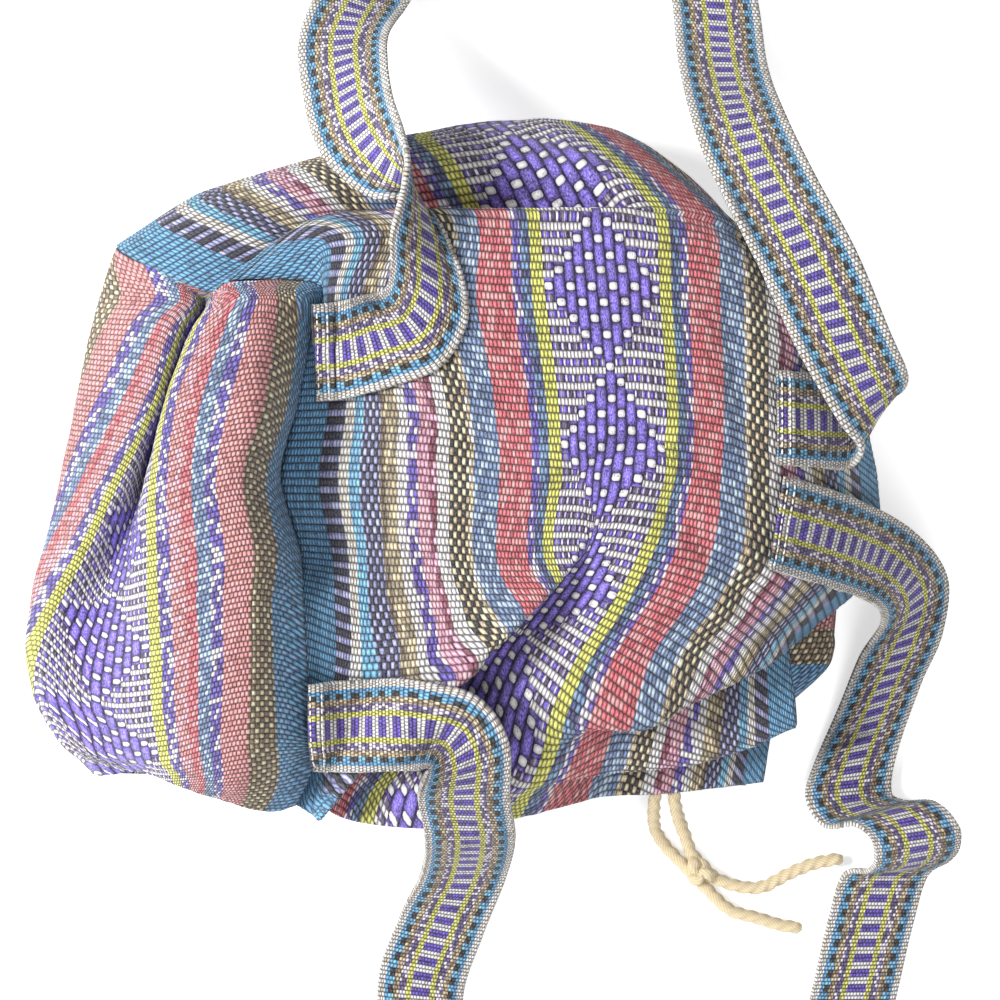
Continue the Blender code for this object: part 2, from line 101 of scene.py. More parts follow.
class Graph:
    """Builds a material's nodes from plain calls. Each value is a number, a colour or a socket."""

    def __init__(self, name, roughness=0.9, sheen=0.2):
        self.material = bpy.data.materials.new(name)
        self.material.use_nodes = True
        self.nodes = self.material.node_tree.nodes
        self.links = self.material.node_tree.links
        self.shader = self.nodes["Principled BSDF"]
        self.shader.inputs["Roughness"].default_value = roughness
        self.shader.inputs["Specular IOR Level"].default_value = 0.2
        self.shader.inputs["Sheen Weight"].default_value = sheen
        self.shader.inputs["Sheen Roughness"].default_value = 0.6

    def put(self, socket, value):
        if isinstance(value, bpy.types.NodeSocket):
            self.links.new(value, socket)
        else:
            socket.default_value = value

    def math(self, operation, *values):
        node = self.nodes.new("ShaderNodeMath")
        node.operation = operation
        for socket, value in zip(node.inputs, values):
            self.put(socket, value)
        return node.outputs[0]

    def times(self, a, b):
        return self.math("MULTIPLY", a, b)

    def plus(self, a, b):
        return self.math("ADD", a, b)

    def minus(self, a, b):
        return self.math("SUBTRACT", a, b)

    def over(self, a, b):
        return self.math("GREATER_THAN", a, b)

    def under(self, a, b):
        return self.math("LESS_THAN", a, b)

    def within(self, a, low, high):
        """1 where a lies between low and high, else 0."""
        return self.times(self.over(a, low), self.under(a, high))

    def kept(self, a):
        """a, kept between 0 and 1."""
        return self.math("MINIMUM", self.math("MAXIMUM", a, 0.0), 1.0)

    def odd(self, a):
        """1 where the whole number a is odd, else 0."""
        return self.math("FLOORED_MODULO", a, 2.0)

    def blend(self, factor, a, b, mode="MIX"):
        node = self.nodes.new("ShaderNodeMix")
        node.data_type = "RGBA"
        node.blend_type = mode
        self.put(node.inputs[0], factor)
        self.put(node.inputs[6], a)
        self.put(node.inputs[7], b)
        return node.outputs[2]

    def pick(self, factor, a, b):
        """a where the factor is 0 and b where it is 1, for numbers."""
        return self.plus(a, self.times(factor, self.minus(b, a)))

    def bands(self, position, stops, span):
        """Steps of colour along a position: each stop is where a colour ends."""
        node = self.nodes.new("ShaderNodeValToRGB")
        ramp = node.color_ramp
        ramp.interpolation = "CONSTANT"
        start = 0.0
        for index, (end, colour) in enumerate(stops):
            place = ramp.elements[0] if index == 0 else ramp.elements.new(min(start / span, 1.0))
            place.color = colour
            start = end
        ramp.elements.remove(ramp.elements[len(stops)])
        self.links.new(self.math("DIVIDE", position, span), node.inputs[0])
        return node.outputs[0]

    def cells(self, place, size, shift=0.0):
        """Number of the cell at a place along a row of cells, and how far across it the place is."""
        position = self.plus(self.math("DIVIDE", place, size), shift)
        return self.math("FLOOR", position), self.math("FRACT", position)

    def pair(self, x, y, z=0.0):
        node = self.nodes.new("ShaderNodeCombineXYZ")
        self.put(node.inputs[0], x)
        self.put(node.inputs[1], y)
        self.put(node.inputs[2], z)
        return node.outputs[0]

    def chance(self, x, y):
        """A steady random number for each whole-numbered pair."""
        node = self.nodes.new("ShaderNodeTexWhiteNoise")
        node.noise_dimensions = "3D"
        self.links.new(self.pair(x, y, 0.5), node.inputs["Vector"])
        return node.outputs["Value"]

    def fibres(self, vector, scale, detail=2.0):
        node = self.nodes.new("ShaderNodeTexNoise")
        self.put(node.inputs["Vector"], vector)
        node.inputs["Scale"].default_value = scale
        node.inputs["Detail"].default_value = detail
        return node.outputs["Fac"]

    def cloth_place(self):
        """u and v of the cloth in millimetres, from its UV map."""
        node = self.nodes.new("ShaderNodeUVMap")
        node.uv_map = "cloth"
        split = self.nodes.new("ShaderNodeSeparateXYZ")
        self.links.new(node.outputs[0], split.inputs[0])
        return self.times(split.outputs[0], 1000.0), self.times(split.outputs[1], 1000.0)

    def finish(self, colour, height, depth):
        """Colour and relief into the shader. depth is how far the relief stands out, in metres."""
        bump = self.nodes.new("ShaderNodeBump")
        bump.inputs["Distance"].default_value = depth
        bump.inputs["Strength"].default_value = 1.0
        self.links.new(height, bump.inputs["Height"])
        self.links.new(bump.outputs[0], self.shader.inputs["Normal"])
        self.put(self.shader.inputs["Base Color"], colour)
        return self.material


def spline_weights(count, positions):
    """Catmull-Rom weights that carry a line of control points to each position along it."""
    weights = np.zeros((len(positions), count))
    for row, position in enumerate(positions):
        start = min(int(position), count - 2)
        f = position - start
        basis = (
            (-f + 2 * f ** 2 - f ** 3) / 2,
            (2 - 5 * f ** 2 + 3 * f ** 3) / 2,
            (f + 4 * f ** 2 - 3 * f ** 3) / 2,
            (-f ** 2 + f ** 3) / 2,
        )
        for offset, weight in zip((-1, 0, 1, 2), basis):
            weights[row, min(max(start + offset, 0), count - 1)] += weight
    return weights


def smooth_sheet(cage, row_positions, column_positions):
    """Points of the smooth surface through a cage, at every pair of positions."""
    across = spline_weights(cage.shape[1], column_positions)
    along = spline_weights(cage.shape[0], row_positions)
    return np.einsum("ri,ijk,cj->rck", along, cage, across)


def even_steps(cage, step, along_rows=True):
    """Positions along a cage that lie about one step apart on the cloth, on average."""
    places = cage[:, :, :3] if along_rows else cage[:, :, :3].transpose(1, 0, 2)
    fine = np.linspace(0, len(places) - 1, (len(places) - 1) * 40 + 1)
    lines = smooth_sheet(places, fine, np.arange(0, places.shape[1], 0.5))
    lengths = np.linalg.norm(np.diff(lines, axis=0), axis=2).mean(axis=1)
    travelled = np.concatenate([[0.0], np.cumsum(lengths)])
    count = max(2, round(travelled[-1] / step))
    return np.interp(np.linspace(0, travelled[-1], count + 1), travelled, fine)


def grid_mesh(name, points, places):
    """Mesh of a rows by columns table of points, with the cloth's u and v as its UV map."""
    rows, columns = points.shape[:2]
    grid = bmesh.new()
    bmesh.ops.create_grid(grid, x_segments=columns - 1, y_segments=rows - 1, size=1.0)
    layer = grid.loops.layers.uv.verify()
    spots = {}
    for vertex in grid.verts:
        column = round((vertex.co.x + 1) / 2 * (columns - 1))
        row = round((vertex.co.y + 1) / 2 * (rows - 1))
        spots[vertex] = (row, column)
        vertex.co = points[row, column]
    for face in grid.faces:
        face.smooth = True
        for loop in face.loops:
            loop[layer].uv = places[spots[loop.vert]]
    mesh = bpy.data.meshes.new(name)
    grid.to_mesh(mesh)
    grid.free()
    mesh.uv_layers[0].name = "cloth"
    return mesh


def add_piece(name, mesh, material):
    piece = bpy.data.objects.new(name, mesh)
    mesh.materials.append(material)
    bpy.context.scene.collection.objects.link(piece)
    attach(piece, "root")
    return piece


def cord_material():
    """Undyed cotton, with its fibres running along each ply."""
    graph = Graph("Cream cotton cord", roughness=0.85, sheen=0.25)
    u, v = graph.cloth_place()
    lay = graph.plus(graph.times(u, 0.35), graph.times(v, 0.25))
    strands = graph.math("ABSOLUTE", graph.math("SINE", graph.times(lay, math.pi * 2.2)))
    fuzz = graph.fibres(graph.pair(u, graph.times(v, 0.6)), 2.6, 3.0)
    shade = graph.plus(graph.times(strands, 0.45), graph.times(fuzz, 0.55))
    colour = graph.blend(shade, linear(184, 161, 122), linear(236, 221, 186))
    return graph.finish(colour, shade, 0.25 * MM)


def tube_surface(route, diameter, plies, lay, step=0.9 * MM, sides=28):
    """Skin of a twisted cord along a smooth line through its route, and the line itself."""
    control = np.array(route, float)[:, None, :] * MM
    line = smooth_sheet(control, even_steps(control, step), np.array([0.0]))[:, 0]
    line[:, 2] = np.maximum(line[:, 2], diameter / 2)
    tangents = np.gradient(line, axis=0)
    tangents /= np.linalg.norm(tangents, axis=1, keepdims=True)
    side = np.cross(tangents, (0.0, 0.0, 1.0))
    side /= np.linalg.norm(side, axis=1, keepdims=True)
    up = np.cross(side, tangents)
    travelled = np.concatenate([[0.0], np.cumsum(np.linalg.norm(np.diff(line, axis=0), axis=1))])
    turn = np.linspace(0, 2 * math.pi, sides + 1)
    lobes = np.cos(plies * turn[None, :] - 2 * math.pi * travelled[:, None] * plies / lay)
    radius = diameter / 2 * (0.88 + 0.12 * lobes)
    ends = np.minimum(travelled, travelled[-1] - travelled) / (diameter / 2)
    radius = radius * np.clip(0.25 + ends, 0.0, 1.0)[:, None] ** 0.5
    skin = (line[:, None] + side[:, None] * (radius * np.cos(turn))[:, :, None]
            + up[:, None] * (radius * np.sin(turn))[:, :, None])
    skin[:, :, 2] = np.maximum(skin[:, :, 2], 0.1 * MM)
    u = np.broadcast_to(turn * diameter / 2, radius.shape)
    v = np.broadcast_to(travelled[:, None], radius.shape)
    return skin, np.stack([u, v], axis=2), line


cord_cotton = cord_material()


def add_cord(name, route, nodes):
    skin, places, line = tube_surface(route, CORD_DIAMETER, CORD_PLIES, CORD_LAY)
    piece = add_piece(name, grid_mesh(name, skin, places), cord_cotton)
    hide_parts(*nodes)
    return piece, line


def knot_route():
    """Closed line of an overhand knot, drawn up tight, in millimetres."""
    turns = np.linspace(0, 2 * math.pi, 40)
    reach_x, reach_y, reach_z = KNOT_REACH
    x = reach_x * (np.sin(turns) + 1.3 * np.sin(2 * turns))
    y = reach_y * (np.cos(turns) - 1.3 * np.cos(2 * turns))
    z = reach_z * -np.sin(3 * turns)
    cos_turn, sin_turn = math.cos(KNOT_TURN), math.sin(KNOT_TURN)
    return np.stack([x * cos_turn - y * sin_turn, x * sin_turn + y * cos_turn, z], axis=1) + KNOT_CENTRE


def add_knot(name):
    skin, places, _ = tube_surface(knot_route(), KNOT_CORD, CORD_PLIES, KNOT_LAY, step=0.5 * MM)
    skin[-1] = skin[0]
    piece = add_piece(name, grid_mesh(name, skin, places), cord_cotton)
    return piece


left_cord, left_line = add_cord(
    "drawstring_left_end", STRAND_LEFT + THROUGH_KNOT_LEFT + TAIL_LOWER,
    ("drawstring_strand_left", "drawstring_tail_lower"))
right_cord, right_line = add_cord(
    "drawstring_right_end", STRAND_RIGHT + THROUGH_KNOT_RIGHT + TAIL_UPPER,
    ("drawstring_strand_right", "drawstring_tail_upper"))
knot = add_knot("drawstring_knot_cord")
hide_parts("drawstring_knot")


# Main cloth
# One long strip of thick ribbed cotton, 242 mm wide between its seams, makes the front, the base and
# the back. Its stripes run from the mouth over the base. A big diagonal pleat crosses the front at the
# lower left, and the gathered mouth crushes the lower right into two ruffles.

CLOTH_THICKNESS = 1.6 * MM
SEAM_STEP = 0.5 * MM
RIB = 2.8 * MM
RIB_RELIEF = 0.4 * MM
WRINKLES_PER_METRE = 42
COLUMN_STEP = 2.2 * MM

# Points that the cloth passes through, in millimetres: the front's rows from the base's fold down to the
# mouth, and the base's rows from that fold down to the back, each from the left seam to the right one
FRONT_CAGE = [
    [(-94, 79, 60), (-66, 99, 68), (-38, 102, 72), (-10, 102, 74), (16, 102, 75),
     (25, 102, 75), (33, 102, 75), (42, 102, 74), (52, 101, 73), (76, 97, 67),
     (97, 85, 55), (112, 72, 40), (122, 60, 26)],
    [(-64, 77, 62), (-60, 89, 69), (-36, 94, 73), (-8, 94, 76), (18, 94, 77),
     (26, 94, 77), (34, 94, 77), (43, 94, 77), (53, 93, 76), (78, 89, 71),
     (99, 79, 60), (115, 68, 45), (126, 57, 29)],
    [(-67, 62, 58), (-56, 69, 66), (-33, 71, 72), (-6, 71, 76), (20, 71, 78),
     (28, 71, 78), (36, 71, 78), (45, 71, 78), (54, 71, 77), (78, 69, 74),
     (101, 65, 67), (119, 58, 52), (132, 50, 33)],
    [(-74, 35, 47), (-51, 36, 59), (-25, 36, 71), (0, 36, 76), (24, 36, 78),
     (31, 36, 79), (39, 36, 79), (47, 36, 79), (56, 36, 79), (79, 35, 76),
     (101, 32, 70), (121, 27, 55), (137, 22, 34)],
    [(-80, 8, 45), (-53, 8, 58), (-24, 8, 70), (2, 8, 75), (25, 8, 78),
     (31, 8, 79), (37, 8, 79), (46, 8, 79), (55, 8, 79), (78, 7, 76),
     (102, 5, 69), (123, 1, 54), (141, -4, 32)],
    [(-73, -18, 47), (-48, -18, 60), (-21, -18, 69), (4, -18, 74), (26, -18, 77),
     (29, -18, 75), (32, -18, 75), (41, -18, 76), (52, -18, 76), (76, -19, 74),
     (100, -20, 67), (120, -22, 53), (138, -24, 34)],
    [(-70, -36, 63), (-49, -36, 63), (-28, -36, 66), (-7, -36, 72), (13, -36, 77),
     (3, -31, 64), (14, -37, 60), (27, -37, 66), (42, -37, 73), (67, -38, 71),
     (92, -38, 65), (112, -36, 54), (130, -35, 38)],
    [(-69, -54, 63), (-52, -54, 61), (-37, -54, 63), (-22, -54, 69), (-4, -54, 75),
     (-20, -44, 57), (-3, -55, 52), (13, -55, 59), (33, -56, 68), (58, -57, 67),
     (82, -54, 61), (102, -48, 54), (119, -43, 43)],
    [(-68, -72, 60), (-57, -72, 58), (-46, -72, 58), (-35, -72, 64), (-23, -72, 70),
     (-40, -59, 50), (-21, -73, 45), (-1, -74, 54), (22, -76, 64), (50, -82, 60),
     (71, -72, 57), (91, -62, 53), (109, -51, 47)],
    [(-67, -84, 55), (-60, -84, 54), (-52, -84, 53), (-45, -84, 58), (-36, -84, 64),
     (-52, -71, 43), (-34, -85, 38), (-9, -87, 50), (15, -91, 58), (47, -73, 49),
     (70, -61, 46), (89, -51, 43), (105, -43, 39)],
    [(-68, -94, 38), (-63, -94, 44), (-59, -94, 49), (-54, -94, 53), (-47, -94, 57),
     (-59, -83, 40), (-45, -96, 38), (-15, -98, 52), (11, -102, 53), (38, -100, 43),
     (62, -98, 40), (88, -92, 37), (110, -83, 35)],
    [(-71, -104, 34), (-68, -104, 39), (-65, -104, 43), (-62, -104, 47), (-57, -105, 50),
     (-64, -94, 32), (-54, -107, 30), (-20, -108, 46), (9, -108, 45), (42, -90, 32),
     (66, -88, 29), (88, -82, 27), (105, -75, 26)],
    [(-76, -114, 30), (-73, -115, 34), (-71, -116, 37), (-69, -116, 40), (-66, -117, 43),
     (-69, -107, 26), (-61, -119, 25), (-27, -121, 37), (8, -117, 34), (36, -112, 24),
     (61, -111, 21), (82, -109, 19), (100, -107, 17)],
]
BASE_CAGE = [
    [(-105, 75, 55), (-78, 92, 58), (-52, 97, 60), (-27, 98, 61), (3, 98, 62),
     (14, 98, 63), (25, 99, 64), (38, 101, 67), (51, 103, 71), (76, 101, 64),
     (97, 89, 52), (112, 75, 38), (121, 62, 25)],
    [(-122, 82, 51), (-98, 100, 58), (-70, 111, 61), (-42, 117, 62), (-10, 120, 63),
     (1, 120, 64), (12, 121, 64), (24, 121, 64), (38, 120, 64), (64, 115, 57),
     (85, 101, 46), (102, 84, 32), (114, 70, 21)],
    [(-140, 92, 43), (-113, 108, 47), (-80, 119, 48), (-52, 127, 48), (-20, 133, 47),
     (-11, 135, 47), (-1, 136, 47), (10, 137, 46), (22, 137, 45), (46, 133, 41),
     (67, 122, 34), (85, 106, 26), (100, 90, 17)],
    [(-136, 96, 20), (-108, 114, 20), (-78, 124, 20), (-50, 132, 20), (-22, 138, 20),
     (-13, 139, 20), (-4, 140, 20), (6, 140, 19), (18, 140, 19), (42, 136, 18),
     (64, 124, 16), (82, 108, 13), (96, 92, 10)],
]

# The back lies flat between four corners: left and right at the base, then right and left at the mouth.
# Its edge at the base curves outwards.
BACK_CORNERS = [(-122, 82), (86, 84), (70, -112), (-158, -106)]
BACK_BULGE = 34.0
BACK_ROWS = 4

# Where each column of the cage lies across the stripes, in millimetres from the middle of the cloth.
# One row below the base's fold the left corner is drawn in, so its first columns have their own.
# From the pleat down it changes from row to row, because the pleat's edge cuts across the stripes.
COLUMN_U = [-121, -93, -65.5, -41, -16, -8, 0, 9, 18, 44, 67, 92, 121]
CORNER_U = [-121, -106, -76, -44]
PLEATED_U = [
    [-121, -90.5, -63, -37.5, -11, -5, 3, 13, 23, 44.5, 65, 88, 121],
    [-121, -92.5, -73, -54, -36, -20, -4, 9, 22.5, 45, 68, 90, 121],
    [-121, -96.5, -85, -70.5, -58, -33, -8, 7, 25, 47.7, 69, 91, 121],
    [-121, -100, -92.5, -85, -73.5, -45, -16.7, 2.2, 23, 46, 67, 90, 121],
    [-121, -103, -97, -91, -84, -54, -23, -1.5, 20, 45, 67, 90, 121],
    [-121, -106, -101.5, -97, -92, -61, -30, -3, 20, 45, 67, 90, 121],
    [-121, -109, -106, -103.5, -101, -66, -31.7, -2.3, 22.5, 45.5, 67, 90, 121],
    [-121, -112.5, -111.5, -110.5, -110, -72, -34, -5, 25, 46, 67, 90, 121],
]

# Creases of the front, in millimetres: from, to, how deep and how wide
FRONT_CREASES = [
    ((24, 83), (50, 84), 1.6, 3.5),
    ((26, 9), (54, 21), 2.6, 5.0),
    ((-30, 30), (6, 16), 1.6, 6.0),
    ((58, -2), (84, -30), 1.6, 6.0),
    ((80, 60), (88, 20), 1.2, 5.0),
    ((-28, -20), (-20, -60), 1.8, 5.0),
]

# How far the cloth below the base is turned where the pleat swings it round, row by row: extra length
# along the stripes for each millimetre across, to the left and to the right of the pleat. It starts at a
# margin from the left edge, and to the right it has a reach, with a line in it that stays still. The
# pleat's edge is one column of the cage, the next is hidden under it, and the cloth comes out past that.
SWING_ROWS = [0, 0, 0, 0, 0.05, 0.25, 0.5, 0.75, 1, 1, 1, 1, 1]
SWING_LEFT = 0.26
SWING_RIGHT = -0.36
SWING_LEFT_MARGIN = 22.0 * MM
SWING_RIGHT_REACH = 70.0 * MM
SWING_RIGHT_STILL = 32.0 * MM
PLEAT_EDGE = 4
PAST_PLEAT = 6

# Stripes from the middle of the cloth outwards: where each ends in millimetres, its yarn, the second
# yarn and how the two are mixed. The brocade's columns, its diamonds' tips and the yarns are also in
# millimetres, and a diamond's height is in pairs of ribs.
YARN_PITCH = 1.35
BROCADE_HALF_WIDTH = 20.0
BROCADE_COLUMN = 3.7
DIAMOND_TIP = 1.7
DIAMOND_HEIGHT = 10.0
PLAIN = 0.0
HEATHER = 0.2
CHECK = 0.4
BARS = 0.6
SPECKLE = 0.8
LILAC_WHITE = linear(234, 226, 230)
PURPLE = linear(86, 64, 166)
PALE_PURPLE = linear(138, 120, 212)
DARK_PURPLE = linear(62, 40, 88)
YELLOW = linear(216, 216, 96)
OLIVE = linear(186, 182, 84)
BLUE = linear(110, 142, 178)
DARK_BLUE = linear(52, 56, 98)
VIOLET = linear(98, 78, 172)
LILAC = linear(196, 186, 220)
RED_PINK = linear(218, 100, 108)
SALMON = linear(226, 146, 142)
SLATE = linear(108, 132, 170)
PALE_SLATE = linear(166, 184, 204)
TAN = linear(206, 186, 148)
BLACK = linear(18, 15, 16)
WHITE = linear(234, 229, 222)
BURGUNDY = linear(140, 60, 84)
PINK = linear(212, 148, 168)
KHAKI = linear(160, 146, 116)
BROWN = linear(108, 90, 68)
NAVY = linear(22, 24, 48)
PERIWINKLE = linear(150, 152, 196)
LIGHT_BLUE = linear(110, 168, 206)
CREAM = linear(228, 218, 200)
SKY_BLUE = linear(98, 162, 204)
DEEP_SKY = linear(76, 132, 172)

MAIN_STRIPES = [
    (BROCADE_HALF_WIDTH, LILAC_WHITE, PURPLE, PLAIN),
    (24.4, YELLOW, OLIVE, HEATHER),
    (27.6, BLUE, DARK_BLUE, SPECKLE),
    (30.8, VIOLET, LILAC, SPECKLE),
    (43.0, RED_PINK, SALMON, HEATHER),
    (51.3, SLATE, PALE_SLATE, HEATHER),
    (53.0, TAN, WHITE, HEATHER),
    (56.0, TAN, BLACK, CHECK),
    (59.2, TAN, BLACK, CHECK),
    (63.2, WHITE, CREAM, HEATHER),
    (66.0, BURGUNDY, PINK, SPECKLE),
    (69.7, PINK, SALMON, HEATHER),
    (73.8, VIOLET, LILAC, SPECKLE),
    (77.0, WHITE, CREAM, HEATHER),
    (80.6, KHAKI, TAN, HEATHER),
    (83.0, BROWN, KHAKI, SPECKLE),
    (89.7, NAVY, PERIWINKLE, CHECK),
    (94.0, LIGHT_BLUE, SKY_BLUE, HEATHER),
    (97.6, CREAM, WHITE, HEATHER),
    (105.3, PERIWINKLE, NAVY, BARS),
    (126.0, SKY_BLUE, DEEP_SKY, HEATHER),
]


def rounded(graph, share, power):
    """1 along the middle of a cell and 0 at its edges, from a place between 0 and 1 across it."""
    off = graph.math("ABSOLUTE", graph.minus(graph.times(share, 2.0), 1.0))
    return graph.minus(1.0, graph.math("POWER", off, power))


def float_relief(graph, in_row, in_yarn, row_power, yarn_power, low):
    """How far each oval float stands out. low is what is left of it between two yarns."""
    across = graph.plus(low, graph.times(rounded(graph, in_yarn, yarn_power), 1.0 - low))
    return graph.times(rounded(graph, in_row, row_power), across)


def spun_tone(graph, u, v, luck):
    """Unevenness of spun yarn: each float and each fibre is a little lighter or darker."""
    fuzz = graph.fibres(graph.pair(graph.times(u, 2.4), graph.times(v, 1.1)), 1.0, 4.0)
    sharp = graph.kept(graph.math("MULTIPLY_ADD", fuzz, 3.2, -1.1))
    soft = graph.fibres(graph.pair(u, v), 0.035, 2.0)
    slow = graph.plus(graph.times(sharp, 0.4), graph.times(soft, 0.12))
    tone = graph.plus(graph.times(luck, 0.48), slow)
    return tone, sharp


def stripe_yarns(graph, from_middle, stripes, span):
    """First and second yarn of the stripe at each place, and how they are mixed, kept as a grey."""
    first = graph.bands(from_middle, [(end, yarn) for end, yarn, _, _ in stripes], span)
    second = graph.bands(from_middle, [(end, yarn) for end, _, yarn, _ in stripes], span)
    mixing = graph.bands(from_middle, [(end, (mode, mode, mode, 1.0)) for end, _, _, mode in stripes], span)
    return first, second, mixing


def woven_finish(graph, colour, tone, sharp, relief, depth):
    """Yarn with its unevenness and its pale loose fibres, with painted shade in the grooves between the
    floats.
    """
    even = graph.blend(tone, (0.18, 0.18, 0.2, 1.0), (2.6, 2.6, 2.6, 1.0))
    lit = graph.blend(1.0, colour, even, "MULTIPLY")
    lit = graph.blend(graph.times(sharp, 0.16), lit, (0.86, 0.83, 0.84, 1.0))
    lit = graph.blend(1.0, lit, (0.93, 0.92, 0.91, 1.0), "DARKEN")
    # Painted shade: the colour goes almost black where the relief falls between the floats, standing in for
    # the shade in those grooves
    painted_groove_shade = graph.blend(1.0, lit, (0.06, 0.05, 0.07, 1.0), "MULTIPLY")
    shown = graph.blend(graph.math("POWER", graph.math("MAXIMUM", relief, 0.0), 1.05), painted_groove_shade, lit)
    height = graph.plus(graph.times(relief, 0.85), graph.times(sharp, 0.12))
    return graph.finish(shown, height, depth)


def striped_cloth(name, stripes, span, rib):
    """Warp-faced cloth: rows of oval yarn floats, coloured by stripe, with a brocade down the middle."""
    graph = Graph(name, roughness=0.92, sheen=0.25)
    u, v = graph.cloth_place()
    rib = rib / MM
    from_middle = graph.math("ABSOLUTE", u)
    row, in_row = graph.cells(v, rib)
    first_yarn, second_yarn, mixing = stripe_yarns(graph, from_middle, stripes, span)
    is_check = graph.within(mixing, 0.3, 0.5)
    is_bars = graph.within(mixing, 0.5, 0.7)
    is_heather = graph.within(mixing, 0.1, 0.3)
    is_speckle = graph.over(mixing, 0.7)

    # One oval float for each yarn and rib, stepped sideways on every other rib
    shift = graph.times(graph.odd(row), graph.times(graph.minus(1.0, is_check), 0.5))
    yarn, in_yarn = graph.cells(u, YARN_PITCH, shift)
    luck = graph.chance(yarn, row)

    checks = graph.times(is_check, graph.odd(graph.plus(yarn, row)))
    bars = graph.times(is_bars, graph.odd(row))
    heather = graph.times(is_heather, graph.times(graph.over(luck, 0.62), 0.6))
    speckle = graph.times(is_speckle, graph.over(luck, 0.64))
    second = graph.plus(graph.plus(checks, bars), graph.plus(heather, speckle))
    colour = graph.blend(second, first_yarn, second_yarn)
    relief = float_relief(graph, in_row, in_yarn, 2.3, 2.1, low=0.14)
    tone, sharp = spun_tone(graph, u, v, luck)

    # Diamonds of long purple floats, with white dots between them, on a ground of white bars
    pair_row = graph.math("FLOOR", graph.math("DIVIDE", graph.plus(row, 1.0), 2.0))
    half = DIAMOND_HEIGHT / 2
    step = graph.math("FLOORED_MODULO", pair_row, DIAMOND_HEIGHT)
    growth = graph.minus(half, graph.math("ABSOLUTE", graph.minus(step, half)))
    edge = graph.plus(DIAMOND_TIP, graph.times(growth, BROCADE_COLUMN))
    inside = graph.under(from_middle, edge)
    column, in_column = graph.cells(graph.plus(u, BROCADE_COLUMN / 2), BROCADE_COLUMN)
    float_place = graph.plus(graph.math("DIVIDE", v, 4 * rib), graph.times(graph.odd(column), 0.5))
    in_float = graph.math("MULTIPLY_ADD", graph.minus(graph.math("FRACT", float_place), 0.5), 1.3, 0.5)
    dot_place = graph.math("FRACT", graph.plus(float_place, 0.5))
    dot_share = graph.kept(graph.math("MULTIPLY_ADD", graph.minus(dot_place, 0.5), 3.6, 0.5))
    dot_across = rounded(graph, graph.math("MULTIPLY_ADD", graph.minus(in_column, 0.5), 1.15, 0.5), 2.0)
    dot_round = graph.times(rounded(graph, dot_share, 2.0), graph.math("MAXIMUM", dot_across, 0.0))
    dot = graph.over(dot_round, 0.22)
    float_along = graph.math("MAXIMUM", rounded(graph, in_float, 4.0), 0.0)
    float_round = graph.times(rounded(graph, in_column, 2.4), float_along)
    figure_relief = graph.pick(dot, float_round, graph.plus(0.35, graph.times(dot_round, 0.65)))
    white_row = graph.minus(1.0, graph.odd(row))
    _, in_bar = graph.cells(u, 2.3)
    gap = graph.over(graph.math("ABSOLUTE", graph.minus(in_bar, 0.5)), 0.33)
    dark_cells = graph.blend(gap, graph.blend(graph.over(luck, 0.5), DARK_PURPLE, PURPLE), LILAC)
    ground = graph.blend(white_row, dark_cells, LILAC_WHITE)
    figure = graph.blend(dot, graph.blend(graph.times(sharp, 0.6), PURPLE, PALE_PURPLE), LILAC_WHITE)
    in_band = graph.under(from_middle, BROCADE_HALF_WIDTH)
    colour = graph.blend(in_band, colour, graph.blend(inside, ground, figure))
    relief = graph.pick(graph.times(inside, in_band), relief, figure_relief)
    return woven_finish(graph, colour, tone, sharp, relief, 0.7 * MM)


def main_cage():
    """Front, base and back in one table, from the mouth edge of the front to that of the back."""
    base_left, base_right, mouth_right, mouth_left = np.array(BACK_CORNERS, float)
    columns = len(FRONT_CAGE[0])
    rest_height = CLOTH_THICKNESS / 2 / MM
    back = []
    for row in range(BACK_ROWS + 1):
        share = row / BACK_ROWS
        left = base_left + (mouth_left - base_left) * share
        right = base_right + (mouth_right - base_right) * share
        line = []
        for column in range(columns):
            t = column / (columns - 1)
            x, y = left + (right - left) * t
            bulge = BACK_BULGE * (1 - share) ** 2 * math.sin(math.pi * t)
            line.append((x, y + bulge, rest_height))
        back.append(line)
    return np.array(FRONT_CAGE[::-1] + BASE_CAGE + back, float) * MM


def loom_places(cage):
    """u and v of every point of the main cage. v is the true length along each stripe from the base's
    fold: positive down the front and negative over the base and the back."""
    fold = len(FRONT_CAGE) - 1
    u = np.array([COLUMN_U] * len(cage), float) * MM
    v = np.zeros_like(u)
    for index, line in enumerate(reversed(PLEATED_U)):
        u[index] = np.array(line) * MM
    u[fold - 1, :len(CORNER_U)] = np.array(CORNER_U) * MM
    for row in range(fold - 1, -1, -1):
        before = row + 1
        for column in range(u.shape[1]):
            reached = [np.interp(u[row, column], u[before], cage[before, :, axis]) for axis in range(3)]
            run = np.linalg.norm(cage[row, column] - reached)
            v[row, column] = np.interp(u[row, column], u[before], v[before]) + run
    for row in range(fold + 1, len(cage)):
        v[row] = v[row - 1] - np.linalg.norm(cage[row] - cage[row - 1], axis=1)
    for index, swing in enumerate(SWING_ROWS):
        row = fold - index
        x = cage[row, :, 0]
        from_left = x[:PLEAT_EDGE + 1] - x[0] - SWING_LEFT_MARGIN
        from_edge = np.clip(x[PAST_PLEAT:] - x[PLEAT_EDGE], 0.0, SWING_RIGHT_REACH)
        v[row, :PLEAT_EDGE + 1] += SWING_LEFT * swing * np.maximum(from_left, 0.0)
        v[row, PAST_PLEAT:] += SWING_RIGHT * swing * (from_edge - SWING_RIGHT_STILL)
        v[row, PLEAT_EDGE + 1] = (v[row, PLEAT_EDGE] + v[row, PAST_PLEAT]) / 2
    return np.stack([u, v], axis=2)


def surface_normals(points):
    along = np.gradient(points, axis=0)
    across = np.gradient(points, axis=1)
    normals = np.cross(across, along)
    lengths = np.linalg.norm(normals, axis=2, keepdims=True)
    return normals / np.maximum(lengths, 1e-12)


